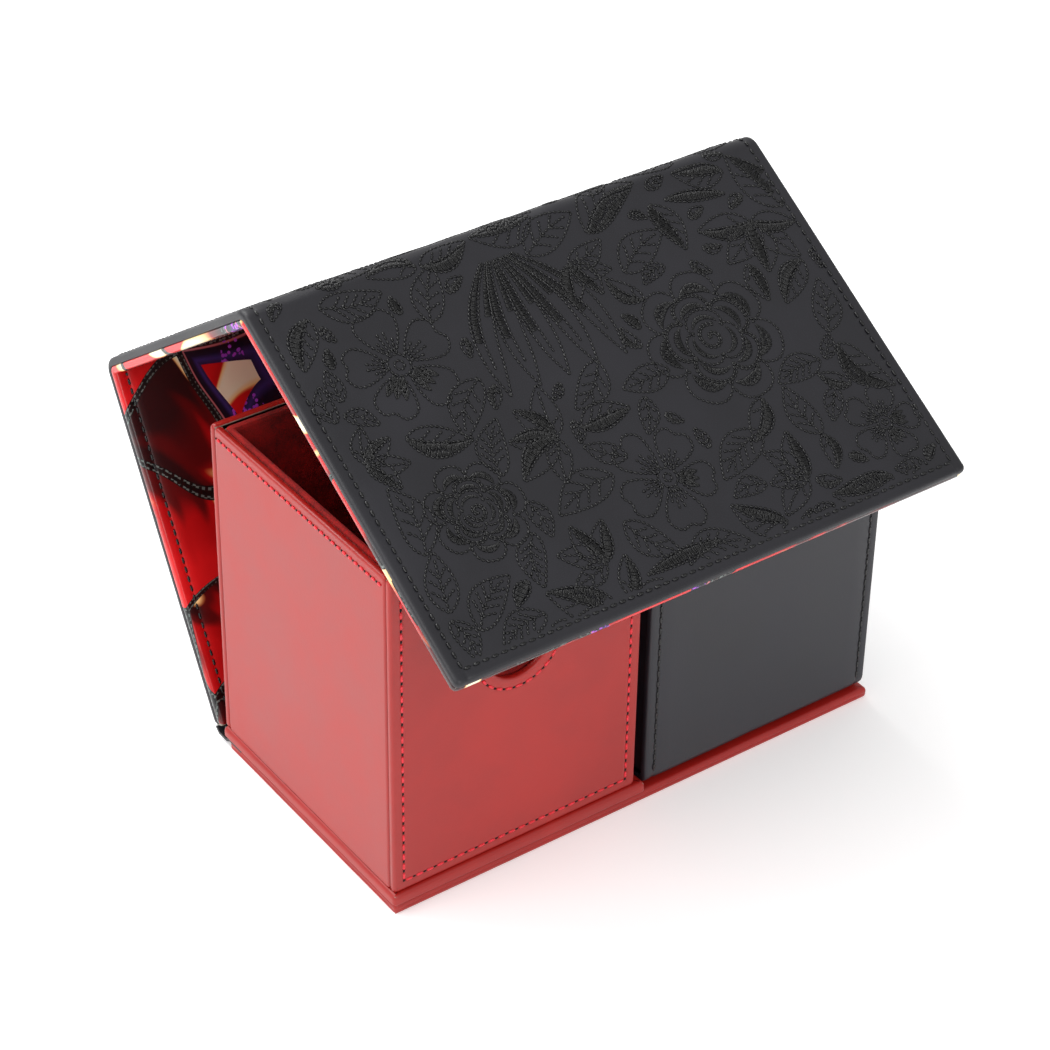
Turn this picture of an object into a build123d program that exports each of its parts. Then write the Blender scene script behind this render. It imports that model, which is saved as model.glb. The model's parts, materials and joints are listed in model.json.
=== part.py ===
from build123d import *
import os
from math import asin, atan2, cos, degrees, hypot, radians, sin

# A card deck box. A red compartment is glued to a base board, a black compartment stands loose beside it,
# and one folding cover of three double panels is hinged to the back of the base and stands over both.
# X runs from the red compartment to the black one, Y from the front to the back and Z up. The origin is
# the centre of the base's underside. All sizes are in millimetres.

os.makedirs("parts", exist_ok=True)

# Driving dimensions: compartments
box_width = 77.8  # one compartment, side to side
box_depth = 84.0  # one compartment, front face to back face
wall_height = 100.0  # the red walls, from the foot board to the rim
wall = 2.2  # a wrapped wall: board and leatherette
skin = 0.5  # leatherette on walls, base and foot board
wall_round = 0.8  # rounding of a wrapped edge

# Driving dimensions: base and foot board
base_height = 3.2
foot_height = 3.3
underside_sheet = 0.4
base_left_margin = 0.25  # base beyond the red compartment's side
base_right_margin = 1.05  # base beyond the black compartment's side
base_front_margin = 0.8
base_back_inset = 2.2  # the compartments' backs reach past the base by this
foot_left_margin = 0.6
foot_right_margin = 3.1
foot_front_margin = 1.1
foot_back_margin = 0.4
slide_clearance = 0.5  # foot board to black compartment
lift_clearance = 0.3  # base to black compartment

# Driving dimensions: black compartment
black_corner = 4.0  # its wrap turns under the front and the back with this radius
black_side_inset = 1.1  # its side walls stand in from the wrap's ends

# Driving dimensions: liner trays
tray_board = 1.6
tray_lining = 0.5
red_tray_gap = 0.7  # tray to compartment walls
black_tray_gap = 0.4
tray_drop = 0.8  # tray rim below the compartment's rim

# Driving dimensions: thumb slot in the red front, open at the rim
slot_radius = 10.0
slot_centre_height = 71.0

# Driving dimensions: cover
cover_overhang = 0.25  # cover beyond the base at each end
cover_outer_half = 2.4  # black half of a panel: board and leatherette
cover_inner_half = 2.2  # printed half of a panel: board and lining
cover_skin = 0.6
lining_skin = 0.5
cover_round = 1.0
fold_gap = 0.5  # fold axis to the end of a panel
fold_skin = 0.8
fold_clearance = 0.3  # fold leatherette to the panel that moves
back_length = 102.6
top_length = 85.7
flap_length = 106.4
back_lean = 28.2  # degrees from upright
top_rise = 35.7  # degrees from level
rest_clearance = 0.35  # flap to the compartments' front rim
cover_rear_gap = 1.1  # compartments' back to the lowest fold axis
cover_fold_height = 4.9  # lowest fold axis above the table
strip_tab = 6.0  # hinge strip glued between base and foot board
strip_sag = 1.4  # the strip's lowest stretch above the table

# Driving dimensions: closing magnets
magnet_radius = 4.0
magnet_spread = 22.0  # magnet from a compartment's centre line
magnet_tip_inset = 12.0  # magnet centre from the flap's tip
magnet_clearance = 0.05
magnet_relief = 0.1  # magnet thinner than its board

# Levels and sides that follow from them
base_width = base_left_margin + 2 * box_width + foot_right_margin + slide_clearance + base_right_margin
base_depth = base_front_margin + box_depth - base_back_inset
foot_bottom = base_height
foot_top = foot_bottom + foot_height
rim = foot_top + wall_height
box_front = -base_depth / 2 + base_front_margin
box_back = box_front + box_depth
wall_front = box_front + wall
wall_back = box_back - wall
red_left = -base_width / 2 + base_left_margin
red_right = red_left + box_width
red_centre = (red_left + red_right) / 2
black_left = red_right + foot_right_margin + slide_clearance
black_right = black_left + box_width
black_centre = (black_left + black_right) / 2
black_bottom = base_height + lift_clearance
tray_rim = rim - tray_drop

cover_width = base_width + 2 * cover_overhang
cover_thickness = cover_outer_half + cover_inner_half


def along(start, direction, distance):
    """The point a distance away from start in a direction, in the Y-Z plane."""
    return (start[0] + direction[0] * distance, start[1] + direction[1] * distance)


# Fold axes as (Y, Z): each lies on the inner faces of the two panels that it joins
back_axis = (box_back + cover_rear_gap, cover_fold_height)
back_run = (sin(radians(back_lean)), cos(radians(back_lean)))
eave_axis = along(back_axis, back_run, back_length)
top_run = (-cos(radians(top_rise)), sin(radians(top_rise)))
ridge_axis = along(eave_axis, top_run, top_length)

# The flap's inner face passes just over the compartments' front rim
rim_reach = hypot(ridge_axis[0] - box_front, ridge_axis[1] - rim)
rim_slope = atan2(ridge_axis[1] - rim, ridge_axis[0] - box_front)
flap_slope = rim_slope - asin(rest_clearance / rim_reach)
flap_run = (-cos(flap_slope), -sin(flap_slope))


def outward(run):
    """The outward direction of a cover panel that runs this way."""
    return (run[1], -run[0])


def panel_plane(axis, run):
    """A panel's own plane: x along the fold, y along the panel and z outwards, from its lower fold axis."""
    facing = outward(run)
    return Plane(origin=(0, axis[0], axis[1]), x_dir=(-1, 0, 0), z_dir=(0, facing[0], facing[1]))


def block(low, high, mode=Mode.ADD):
    """Puts a box between two corners into the part being built."""
    size = [top - bottom for bottom, top in zip(low, high)]
    centre = tuple((top + bottom) / 2 for bottom, top in zip(low, high))
    with Locations(centre):
        Box(*size, mode=mode)


def board_corners(low, high, bare):
    """Corners of the board in a wrapped panel: the skin is taken off each face but the bare one, such as +X."""
    board_low = [value + skin for value in low]
    board_high = [value - skin for value in high]
    axis = "XYZ".index(bare[1])
    if bare[0] == "+":
        board_high[axis] = high[axis]
    else:
        board_low[axis] = low[axis]
    return board_low, board_high


def wrapped_block(low, high, bare):
    """Puts a panel's outer shape into the part being built, rounded on the edges that its skin wraps."""
    block(low, high)
    bare_face = faces().sort_by({"X": Axis.X, "Y": Axis.Y, "Z": Axis.Z}[bare[1]])[-1 if bare[0] == "+" else 0]
    fillet(edges() - bare_face.edges(), wall_round)


def thumb_slot(radius, near, far):
    """Cuts the thumb slot between two Y values: round at the bottom and open at the rim."""
    above = rim + radius
    with BuildSketch(Plane.XZ.offset(-far)) as slot:
        with Locations((red_centre, slot_centre_height)):
            Circle(radius)
        with Locations((red_centre, (slot_centre_height + above) / 2)):
            Rectangle(2 * radius, above - slot_centre_height)
    extrude(slot.sketch, amount=far - near, mode=Mode.SUBTRACT)


def save(piece, name):
    """Labels a finished piece and writes its STEP file."""
    piece.part.label = name
    export_step(piece.part, f"parts/{name}.step")


# Hinge strip: black leatherette glued between base and foot board, which carries the cover
strip_low = along(along(back_axis, back_run, fold_gap), outward(back_run), cover_thickness)
strip_high = along(strip_low, outward(back_run), -fold_skin)
base_back = base_depth / 2
with BuildPart() as hinge_strip:
    with BuildSketch(Plane.YZ.offset(-base_width / 2)):
        with BuildLine():
            Polyline(
                (base_back - strip_tab, base_height),
                (base_back + 0.2, base_height),
                (base_back + 1.9, strip_sag + fold_skin),
                (strip_high[0] - 1.6, strip_sag + fold_skin),
                along(strip_high, back_run, -fold_clearance),
                along(strip_low, back_run, -fold_clearance),
                (strip_low[0] - 1.9, strip_sag),
                (base_back + 1.5, strip_sag),
                (base_back, base_height - fold_skin),
                (base_back - strip_tab, base_height - fold_skin),
                close=True,
            )
        make_face()
    extrude(amount=base_width)
save(hinge_strip, "cover_hinge_strip")

# Base: a board in red leatherette, with a sheet over its underside
base_low = (-base_width / 2, -base_depth / 2, 0)
base_high = (base_width / 2, base_depth / 2, base_height)
sheet_high = (base_high[0] - skin, base_high[1] - skin, underside_sheet)
sheet_low = (base_low[0] + skin, base_low[1] + skin, 0)
with BuildPart() as base_sheet:
    block(sheet_low, sheet_high)
save(base_sheet, "base_underside_sheet")

with BuildPart() as base_board:
    block((*sheet_low[:2], underside_sheet), (*sheet_high[:2], base_height - skin))
    add(hinge_strip.part, mode=Mode.SUBTRACT)
save(base_board, "base_board")

with BuildPart() as base_wrap:
    wrapped_block(base_low, base_high, "-Z")
    add(base_board.part, mode=Mode.SUBTRACT)
    add(base_sheet.part, mode=Mode.SUBTRACT)
    add(hinge_strip.part, mode=Mode.SUBTRACT)
save(base_wrap, "base_wrap")

# Walls of both compartments that are plain wrapped boards, and the foot board under the red one
black_wall_left = black_left + black_side_inset
black_wall_right = black_right - black_side_inset
black_floor = black_bottom + wall
plain_panels = (
    (
        "foot",
        (red_left - foot_left_margin, box_front - foot_front_margin, foot_bottom),
        (red_right + foot_right_margin, box_back + foot_back_margin, foot_top),
        "-Z",
    ),
    ("red_left", (red_left, wall_front, foot_top), (red_left + wall, wall_back, rim), "+X"),
    ("red_right", (red_right - wall, wall_front, foot_top), (red_right, wall_back, rim), "-X"),
    ("red_back", (red_left, wall_back, foot_top), (red_right, box_back, rim), "-Y"),
    (
        "black_left",
        (black_wall_left, wall_front, black_floor),
        (black_wall_left + wall, wall_back, rim),
        "+X",
    ),
    (
        "black_right",
        (black_wall_right - wall, wall_front, black_floor),
        (black_wall_right, wall_back, rim),
        "-X",
    ),
)
for panel_name, low, high, bare in plain_panels:
    with BuildPart() as board:
        block(*board_corners(low, high, bare))
    save(board, f"{panel_name}_board")
    with BuildPart() as wrap:
        wrapped_block(low, high, bare)
        add(board.part, mode=Mode.SUBTRACT)
    save(wrap, f"{panel_name}_wrap")

# Closing magnets in the fronts, at the height where the closed flap's magnets come to rest
front_magnet_height = rim + rest_clearance - (flap_length - magnet_tip_inset)
magnet_depth = wall - skin - magnet_relief


def front_magnets(centre, radius, depth, mode=Mode.ADD):
    """Puts the two round magnets of one compartment's front into the part being built, or their pockets."""
    spots = [(centre + side * magnet_spread, front_magnet_height) for side in (-1, 1)]
    with BuildSketch(Plane.XZ.offset(-wall_front)) as discs:
        with Locations(*spots):
            Circle(radius)
    extrude(discs.sketch, amount=depth, mode=mode)


for colour, centre in (("red", red_centre), ("black", black_centre)):
    with BuildPart() as magnets:
        front_magnets(centre, magnet_radius, magnet_depth)
    save(magnets, f"{colour}_front_magnets")

# Red front: a board with the thumb slot, its skin turned through the slot
front_low = (red_left, box_front, foot_top)
front_high = (red_right, wall_front, rim)
with BuildPart() as red_front_board:
    block(*board_corners(front_low, front_high, "+Y"))
    thumb_slot(slot_radius + skin, box_front - wall, wall_front + wall)
    front_magnets(red_centre, magnet_radius + magnet_clearance, wall, Mode.SUBTRACT)
save(red_front_board, "red_front_board")

with BuildPart() as red_front_wrap:
    wrapped_block(front_low, front_high, "+Y")
    thumb_slot(slot_radius, box_front - wall, wall_front + wall)
    block(*board_corners(front_low, front_high, "+Y"), mode=Mode.SUBTRACT)
    with BuildSketch(Plane.XZ.offset(-wall_front)):
        with Locations((red_centre, slot_centre_height)):
            Circle(slot_radius + skin)
            Circle(slot_radius, mode=Mode.SUBTRACT)
        with Locations((red_centre, (slot_centre_height + rim - skin) / 2)):
            Rectangle(2 * (slot_radius + skin), rim - skin - slot_centre_height)
            Rectangle(2 * slot_radius, rim - skin - slot_centre_height, mode=Mode.SUBTRACT)
    extrude(amount=wall - skin)
save(red_front_wrap, "red_front_wrap")

# Black compartment: front, bottom and back are three boards in one wrap that turns under softly
board_left = black_left + skin
board_right = black_right - skin
black_front_low = (board_left, box_front + skin, black_bottom + black_corner)
black_front_high = (board_right, wall_front, rim - skin)
with BuildPart() as black_front_board:
    block(black_front_low, black_front_high)
    front_magnets(black_centre, magnet_radius + magnet_clearance, wall, Mode.SUBTRACT)
save(black_front_board, "black_front_board")

with BuildPart() as black_bottom_board:
    block(
        (board_left, box_front + black_corner, black_bottom + skin),
        (board_right, box_back - black_corner, black_floor),
    )
save(black_bottom_board, "black_bottom_board")

with BuildPart() as black_back_board:
    block(
        (board_left, wall_back, black_bottom + black_corner),
        (board_right, box_back - skin, rim - skin),
    )
save(black_back_board, "black_back_board")

with BuildPart() as black_wrap:
    with BuildSketch(Plane.YZ.offset(black_left)):
        with Locations(((box_front + box_back) / 2, (black_bottom + rim) / 2)):
            Rectangle(box_depth, rim - black_bottom)
        fillet(vertices().group_by(Axis.Y)[0], black_corner)
    extrude(amount=box_width)
    block((black_left, wall_front, black_floor), (black_right, wall_back, rim), Mode.SUBTRACT)
    block(black_front_low, black_front_high, Mode.SUBTRACT)
    add(black_bottom_board.part, mode=Mode.SUBTRACT)
    add(black_back_board.part, mode=Mode.SUBTRACT)
save(black_wrap, "black_wrap")


def build_tray(colour, left, right, floor, gap, slotted):
    """Makes a liner tray in its compartment: floor, walls and a lining that folds over the rim."""
    low = (left + gap, wall_front + gap, floor)
    high = (right - gap, wall_back - gap, tray_rim)
    board_top = tray_rim - tray_lining
    floor_top = floor + tray_board
    with BuildPart() as tray_floor:
        block(low, (high[0], high[1], floor_top))
    save(tray_floor, f"{colour}_tray_floor")
    with BuildPart() as tray_front:
        block((low[0], low[1], floor_top), (high[0], low[1] + tray_board, board_top))
        if slotted:
            thumb_slot(slot_radius + tray_lining, low[1] - wall, low[1] + 2 * wall)
    save(tray_front, f"{colour}_tray_front_wall")
    with BuildPart() as tray_back:
        block((low[0], high[1] - tray_board, floor_top), (high[0], high[1], board_top))
    save(tray_back, f"{colour}_tray_back_wall")
    with BuildPart() as tray_sides:
        for start, end in ((low[0], low[0] + tray_board), (high[0] - tray_board, high[0])):
            block((start, low[1] + tray_board, floor_top), (end, high[1] - tray_board, board_top))
    save(tray_sides, f"{colour}_tray_side_walls")
    side = tray_board + tray_lining
    with BuildPart() as lining:
        block((low[0], low[1], floor_top), high)
        block(
            (low[0] + side, low[1] + side, floor_top + tray_lining),
            (high[0] - side, high[1] - side, rim),
            Mode.SUBTRACT,
        )
        if slotted:
            thumb_slot(slot_radius, low[1] - wall, low[1] + 2 * wall)
        for walls in (tray_front, tray_back, tray_sides):
            add(walls.part, mode=Mode.SUBTRACT)
    save(lining, f"{colour}_tray_lining")


build_tray("red", red_left + wall, red_right - wall, foot_top, red_tray_gap, True)
build_tray(
    "black",
    black_wall_left + wall,
    black_wall_right - wall,
    black_floor,
    black_tray_gap,
    False,
)


def build_cover_panel(name, axis, run, length, free_tip):
    """Makes a cover panel's four pieces: wrap, outer board, inner board and printed lining."""
    place = panel_plane(axis, run)
    half = cover_width / 2
    start = fold_gap
    end = length if free_tip else length - fold_gap
    wrap_end = end - cover_skin if free_tip else end
    lining_end = end - lining_skin if free_tip else end
    outer_low = (-half + cover_skin, start, cover_inner_half)
    outer_high = (half - cover_skin, wrap_end, cover_thickness - cover_skin)
    with BuildPart(place) as outer_board:
        block(outer_low, outer_high)
    save(outer_board, f"cover_{name}_outer_board")
    with BuildPart(place) as wrap:
        block((-half, start, cover_inner_half), (half, end, cover_thickness))
        round_face(wrap, place, cover_thickness, free_tip, end)
        block(outer_low, outer_high, Mode.SUBTRACT)
    save(wrap, f"cover_{name}_wrap")
    inner_low = (-half + lining_skin, start, lining_skin)
    inner_high = (half - lining_skin, lining_end, cover_inner_half)
    with BuildPart(place) as inner_board:
        block(inner_low, inner_high)
        if free_tip:
            flap_magnets(place, length, magnet_radius + magnet_clearance, cover_inner_half, Mode.SUBTRACT)
    save(inner_board, f"cover_{name}_inner_board")
    with BuildPart(place) as lining:
        block((-half, start, 0), (half, end, cover_inner_half))
        round_face(lining, place, 0, free_tip, end)
        block(inner_low, inner_high, Mode.SUBTRACT)
    save(lining, f"cover_{name}_lining")


def round_face(piece, place, height, free_tip, end):
    """Rounds the long end edges of a panel's face at a height over its plane, and its tip edge if that is free."""
    face = piece.faces().sort_by(lambda each: abs(place.to_local_coords(each.center()).Z - height))[0]
    chosen = []
    for edge in face.edges():
        middle = place.to_local_coords(edge.center())
        at_end = abs(middle.X) > cover_width / 2 - cover_skin
        at_tip = free_tip and abs(middle.Y - end) < cover_skin
        if at_end or at_tip:
            chosen.append(edge)
    fillet(chosen, cover_round)


def flap_magnets(place, length, radius, depth, mode=Mode.ADD):
    """Puts the flap's magnets into the part being built, or their pockets, opposite those in the fronts."""
    spots = [
        (-(centre + side * magnet_spread), length - magnet_tip_inset)
        for centre in (red_centre, black_centre)
        for side in (-1, 1)
    ]
    with BuildSketch(place.offset(lining_skin)) as discs:
        with Locations(*spots):
            Circle(radius)
    extrude(discs.sketch, amount=depth - lining_skin, mode=mode)


build_cover_panel("back", back_axis, back_run, back_length, False)
build_cover_panel("top", eave_axis, top_run, top_length, False)
build_cover_panel("flap", ridge_axis, flap_run, flap_length, True)

flap_place = panel_plane(ridge_axis, flap_run)
with BuildPart(flap_place) as magnets:
    flap_magnets(flap_place, flap_length, magnet_radius, cover_inner_half - magnet_relief)
save(magnets, "cover_flap_magnets")


def build_fold(name, axis, run_in, run_out):
    """Makes the leatherette over a fold: an arc about its axis between the outer faces of two panels."""
    outer = cover_thickness
    inner = cover_thickness - fold_skin
    facing_in = outward(run_in)
    facing_out = outward(run_out)
    first = degrees(atan2(facing_in[1], facing_in[0]))
    turn = degrees(atan2(facing_out[1], facing_out[0])) - first
    with BuildPart() as fold:
        with BuildSketch(Plane.YZ.offset(-cover_width / 2)):
            with BuildLine():
                start_outer = along(axis, facing_in, outer)
                start_inner = along(axis, facing_in, inner)
                end_outer = along(axis, facing_out, outer)
                end_inner = along(axis, facing_out, inner)
                CenterArc(axis, outer, first, turn)
                CenterArc(axis, inner, first, turn)
                Polyline(
                    start_outer,
                    along(start_outer, run_in, -fold_gap),
                    along(start_inner, run_in, -fold_gap),
                    start_inner,
                )
                reach = fold_gap - fold_clearance
                Polyline(
                    end_outer,
                    along(end_outer, run_out, reach),
                    along(end_inner, run_out, reach),
                    end_inner,
                )
            make_face()
        extrude(amount=cover_width)
    save(fold, name)


build_fold("eave_fold", eave_axis, back_run, top_run)
build_fold("ridge_fold", ridge_axis, top_run, flap_run)
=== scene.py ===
"""The looks of a card deck box: two leatherette compartments under a folding, embroidered cover.

The solids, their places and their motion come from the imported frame. This script builds what the eye sees
around them: wrapped leatherette walls with stitched borders, microfibre liners, the padded cover with its
rolled edges and tone-on-tone embroidery, its printed lining, a plain pale stage, and the camera.
"""

from __future__ import annotations

import json
import logging
import math
import random
from dataclasses import dataclass, field
from enum import Enum
from functools import partial
from typing import Callable, Iterable, Sequence

import bmesh
import bpy
from mathutils import Matrix, Vector, noise

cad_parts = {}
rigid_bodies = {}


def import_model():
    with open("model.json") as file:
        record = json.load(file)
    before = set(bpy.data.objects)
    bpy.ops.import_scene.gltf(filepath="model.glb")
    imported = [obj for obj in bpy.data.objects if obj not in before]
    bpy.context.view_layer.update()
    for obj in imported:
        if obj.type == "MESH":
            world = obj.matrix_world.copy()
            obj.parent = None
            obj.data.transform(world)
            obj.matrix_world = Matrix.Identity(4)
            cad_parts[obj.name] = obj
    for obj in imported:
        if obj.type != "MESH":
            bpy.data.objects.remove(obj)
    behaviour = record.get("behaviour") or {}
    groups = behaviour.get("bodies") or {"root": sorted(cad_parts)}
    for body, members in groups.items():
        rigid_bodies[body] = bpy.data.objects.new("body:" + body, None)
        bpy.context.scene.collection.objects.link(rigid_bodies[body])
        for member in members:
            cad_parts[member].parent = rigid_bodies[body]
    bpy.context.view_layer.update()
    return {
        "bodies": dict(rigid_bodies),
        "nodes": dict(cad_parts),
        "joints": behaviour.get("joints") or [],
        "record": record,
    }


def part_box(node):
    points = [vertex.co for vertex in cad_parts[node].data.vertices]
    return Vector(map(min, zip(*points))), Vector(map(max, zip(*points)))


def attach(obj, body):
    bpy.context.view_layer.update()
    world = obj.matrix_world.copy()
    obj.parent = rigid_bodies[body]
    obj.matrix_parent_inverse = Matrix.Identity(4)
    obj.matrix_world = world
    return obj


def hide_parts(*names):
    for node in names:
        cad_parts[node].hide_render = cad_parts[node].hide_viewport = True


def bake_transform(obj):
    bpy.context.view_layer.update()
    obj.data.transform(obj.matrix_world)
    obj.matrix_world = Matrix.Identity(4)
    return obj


LOG = logging.getLogger("card_deck_box")
MM = 0.001
Flat = tuple[float, float]
Tree = bpy.types.NodeTree
Socket = bpy.types.NodeSocket
Material = bpy.types.Material
Piece = bpy.types.Object
Mesh = bmesh.types.BMesh
PANEL_SHARP_DEG = 50.0  # Turns sharper than this stay crisp on wrapped panels
FOLD_THREAD_MM = 1.5  # Threads over a fold are cut about this short
SHORTEST_THREAD_MM = 0.3
THREAD_SIDES = 4  # Embroidery threads are thin enough for four sides
BORDER_SIDES = 6


# --- Small helpers ---------------------------------------------------------------------------------------


def linear(hex_colour: str) -> tuple[float, float, float, float]:
    """Turns an sRGB hex colour to linear values.

    Args:
        hex_colour: Six hex digits, such as "A03020".

    Returns:
        Linear red, green, blue and an alpha of 1.
    """
    parts = [int(hex_colour[i : i + 2], 16) / 255 for i in (0, 2, 4)]
    lin = [c / 12.92 if c <= 0.04045 else ((c + 0.055) / 1.055) ** 2.4 for c in parts]
    return (lin[0], lin[1], lin[2], 1.0)


def add_node(tree: Tree, kind: str, settings: dict | None = None, **links) -> bpy.types.Node:
    """Adds a shader node, sets it and links its inputs.

    Args:
        tree: The material's node tree.
        kind: The node's type name.
        settings: Node properties, or input values keyed by the input's name or number.
        links: Inputs by name, with spaces as underscores, or in0, in1 for numbers; each value is an output.

    Returns:
        The new node.
    """
    node = tree.nodes.new(kind)
    for name, value in (settings or {}).items():
        if isinstance(name, str) and hasattr(node, name):
            setattr(node, name, value)
        else:
            node.inputs[name].default_value = value
    for name, output in links.items():
        key = int(name[2:]) if name.startswith("in") and name[2:].isdigit() else name.replace("_", " ")
        tree.links.new(output, node.inputs[key])
    return node


def ramp(
    tree: Tree, source: Socket, stops: Sequence[tuple[float, str]], ease: bool = False
) -> Socket:
    """Adds a colour ramp over hex colours and returns its colour output.

    Args:
        tree: The material's node tree.
        source: The output that drives the ramp.
        stops: Pairs of position and hex colour, in order.
        ease: True for a smooth change between stops.

    Returns:
        The ramp's colour output.
    """
    node = add_node(tree, "ShaderNodeValToRGB", in0=source)
    node.color_ramp.interpolation = "EASE" if ease else "LINEAR"
    elements = node.color_ramp.elements
    while len(elements) < len(stops):
        elements.new(0.5)
    for element, (position, colour) in zip(elements, stops):
        element.position = position
        element.color = linear(colour)
    return node.outputs["Color"]


def smooth_curve(points: Sequence[Flat], step: float) -> list[Vector]:
    """Runs a Catmull-Rom curve through points and resamples it evenly.

    Args:
        points: The points, in millimetres on the flat cover.
        step: The distance between samples, in millimetres.

    Returns:
        Evenly spaced points from the first point to the last.
    """
    guide = [Vector(p) for p in points]
    padded = [guide[0] * 2 - guide[1], *guide, guide[-1] * 2 - guide[-2]]
    dense: list[Vector] = []
    for i in range(1, len(padded) - 2):
        a, b, c, d = padded[i - 1 : i + 3]
        count = max(4, int((c - b).length / 0.4))
        for k in range(count):
            t = k / count
            bend, twist = 2 * a - 5 * b + 4 * c - d, 3 * b - a - 3 * c + d
            dense.append(0.5 * ((2 * b) + (c - a) * t + bend * t**2 + twist * t**3))
    dense.append(guide[-1])
    return resample(dense, step)


def resample(points: Sequence[Vector], step: float) -> list[Vector]:
    """Spaces points evenly along a polyline, keeping both ends.

    Args:
        points: The polyline.
        step: The wanted distance between points.

    Returns:
        Points an even distance apart, near the wanted step.
    """
    lengths = [0.0]
    for a, b in zip(points, points[1:]):
        lengths.append(lengths[-1] + (b - a).length)
    count = max(1, round(lengths[-1] / step))
    out, j = [], 0
    for i in range(count + 1):
        want = lengths[-1] * i / count
        while j < len(lengths) - 2 and lengths[j + 1] < want:
            j += 1
        span = lengths[j + 1] - lengths[j] or 1.0
        out.append(points[j].lerp(points[j + 1], (want - lengths[j]) / span))
    return out


def mesh_piece(
    name: str, bm: Mesh, material: Material, sharp_deg: float = 40.0
) -> Piece:
    """Turns a bmesh in metres into an object at the origin, smooth but for its sharp edges.

    Args:
        name: The piece's name.
        bm: The mesh, which is freed.
        material: Its finish.
        sharp_deg: Edges that turn more than this stay sharp.

    Returns:
        The new object.
    """
    limit = math.radians(sharp_deg)
    for face in bm.faces:
        face.smooth = True
    for edge in bm.edges:
        edge.smooth = not (edge.is_manifold and edge.calc_face_angle(0.0) > limit)
    mesh = bpy.data.meshes.new(name)
    bm.to_mesh(mesh)
    bm.free()
    mesh.materials.append(material)
    obj = bpy.data.objects.new(name, mesh)
    bpy.context.scene.collection.objects.link(obj)
    return obj


def stand_in(piece: Piece, body: str, node: str, slot: str) -> None:
    """Makes a piece ride on a body and stand for a CAD node, which is hidden."""
    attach(piece, body)
    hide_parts(node)
    LOG.info("%s stands for %s", piece.name, node)


def box_mm(*nodes: str) -> tuple[Vector, Vector]:
    """Gives the lowest and highest corners of one or more nodes together, in millimetres."""
    lows, highs = zip(*(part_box(node) for node in nodes))
    return Vector(map(min, zip(*lows))) / MM, Vector(map(max, zip(*highs))) / MM


# --- Finishes --------------------------------------------------------------------------------------------


def new_material(name: str) -> tuple[Material, Tree, bpy.types.Node]:
    """Makes an empty material with a Principled shader.

    Args:
        name: The material's name.

    Returns:
        The material, its node tree and the Principled node.
    """
    material = bpy.data.materials.new(name)
    material.use_nodes = True
    tree = material.node_tree
    tree.nodes.clear()
    shader = add_node(tree, "ShaderNodeBsdfPrincipled")
    add_node(tree, "ShaderNodeOutputMaterial", Surface=shader.outputs["BSDF"])
    return material, tree, shader


def set_base(tree: Tree, shader: bpy.types.Node, colour: Socket) -> None:
    """Links a colour output to the shader's base colour."""
    tree.links.new(colour, shader.inputs["Base Color"])


@dataclass(frozen=True)
class Leatherette:
    """Polyurethane leatherette on a fabric backing: a pressed fine grain under a soft satin topcoat."""

    name: str
    colour: str
    light_colour: str
    roughness: float
    grain_mm: float = 0.55
    grain_depth_mm: float = 0.035

    def build(self) -> Material:
        """Makes the material: cloudy colour, pebbled grain and a slightly uneven gloss."""
        material, tree, shader = new_material(self.name)
        add = partial(add_node, tree)
        place = add("ShaderNodeTexCoord").outputs["Object"]
        cloud = add("ShaderNodeTexNoise", {"Scale": 38.0, "Detail": 4.0, "Roughness": 0.6}, Vector=place)
        set_base(
            tree,
            shader,
            ramp(tree, cloud.outputs["Fac"], [(0.3, self.colour), (0.72, self.light_colour)], ease=True),
        )
        # Grain: pebbles about half a millimetre across, with finer pores between
        pebble = add(
            "ShaderNodeTexVoronoi",
            {"feature": "SMOOTH_F1", "Scale": 1.0 / (self.grain_mm * MM), "Smoothness": 0.7},
            Vector=place,
        )
        pore = add("ShaderNodeTexNoise", {"Scale": 2.6 / (self.grain_mm * MM), "Detail": 3.0}, Vector=place)
        mix = add(
            "ShaderNodeMath",
            {"operation": "MULTIPLY_ADD", 1: 0.45},
            in0=pore.outputs["Fac"],
            in2=pebble.outputs["Distance"],
        )
        bump = add(
            "ShaderNodeBump",
            {"Strength": 0.35, "Distance": self.grain_depth_mm * MM},
            Height=mix.outputs[0],
        )
        tree.links.new(bump.outputs["Normal"], shader.inputs["Normal"])
        gloss = add(
            "ShaderNodeMapRange",
            {
                "From Min": 0.3,
                "From Max": 0.7,
                "To Min": self.roughness - 0.05,
                "To Max": self.roughness + 0.06,
            },
            Value=cloud.outputs["Fac"],
        )
        tree.links.new(gloss.outputs["Result"], shader.inputs["Roughness"])
        shader.inputs["IOR"].default_value = 1.5
        return material


@dataclass(frozen=True)
class Thread:
    """Polyester embroidery thread: filaments twisted together, with a silky glint along them."""

    name: str
    colour: str
    light_colour: str
    roughness: float = 0.42

    def build(self) -> Material:
        """Makes the material: one colour with fine twist lines, lighter where the fine bump stands highest.
        """
        material, tree, shader = new_material(self.name)
        add = partial(add_node, tree)
        place = add("ShaderNodeTexCoord").outputs["Object"]
        fibre = add("ShaderNodeTexNoise", {"Scale": 2600.0, "Detail": 2.0}, Vector=place)
        stops = [(0.42, self.colour), (0.72, self.light_colour)]
        set_base(tree, shader, ramp(tree, fibre.outputs["Fac"], stops))
        bump = add("ShaderNodeBump", {"Strength": 1.0, "Distance": 0.12 * MM}, Height=fibre.outputs["Fac"])
        tree.links.new(bump.outputs["Normal"], shader.inputs["Normal"])
        shader.inputs["Roughness"].default_value = self.roughness
        return material


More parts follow.
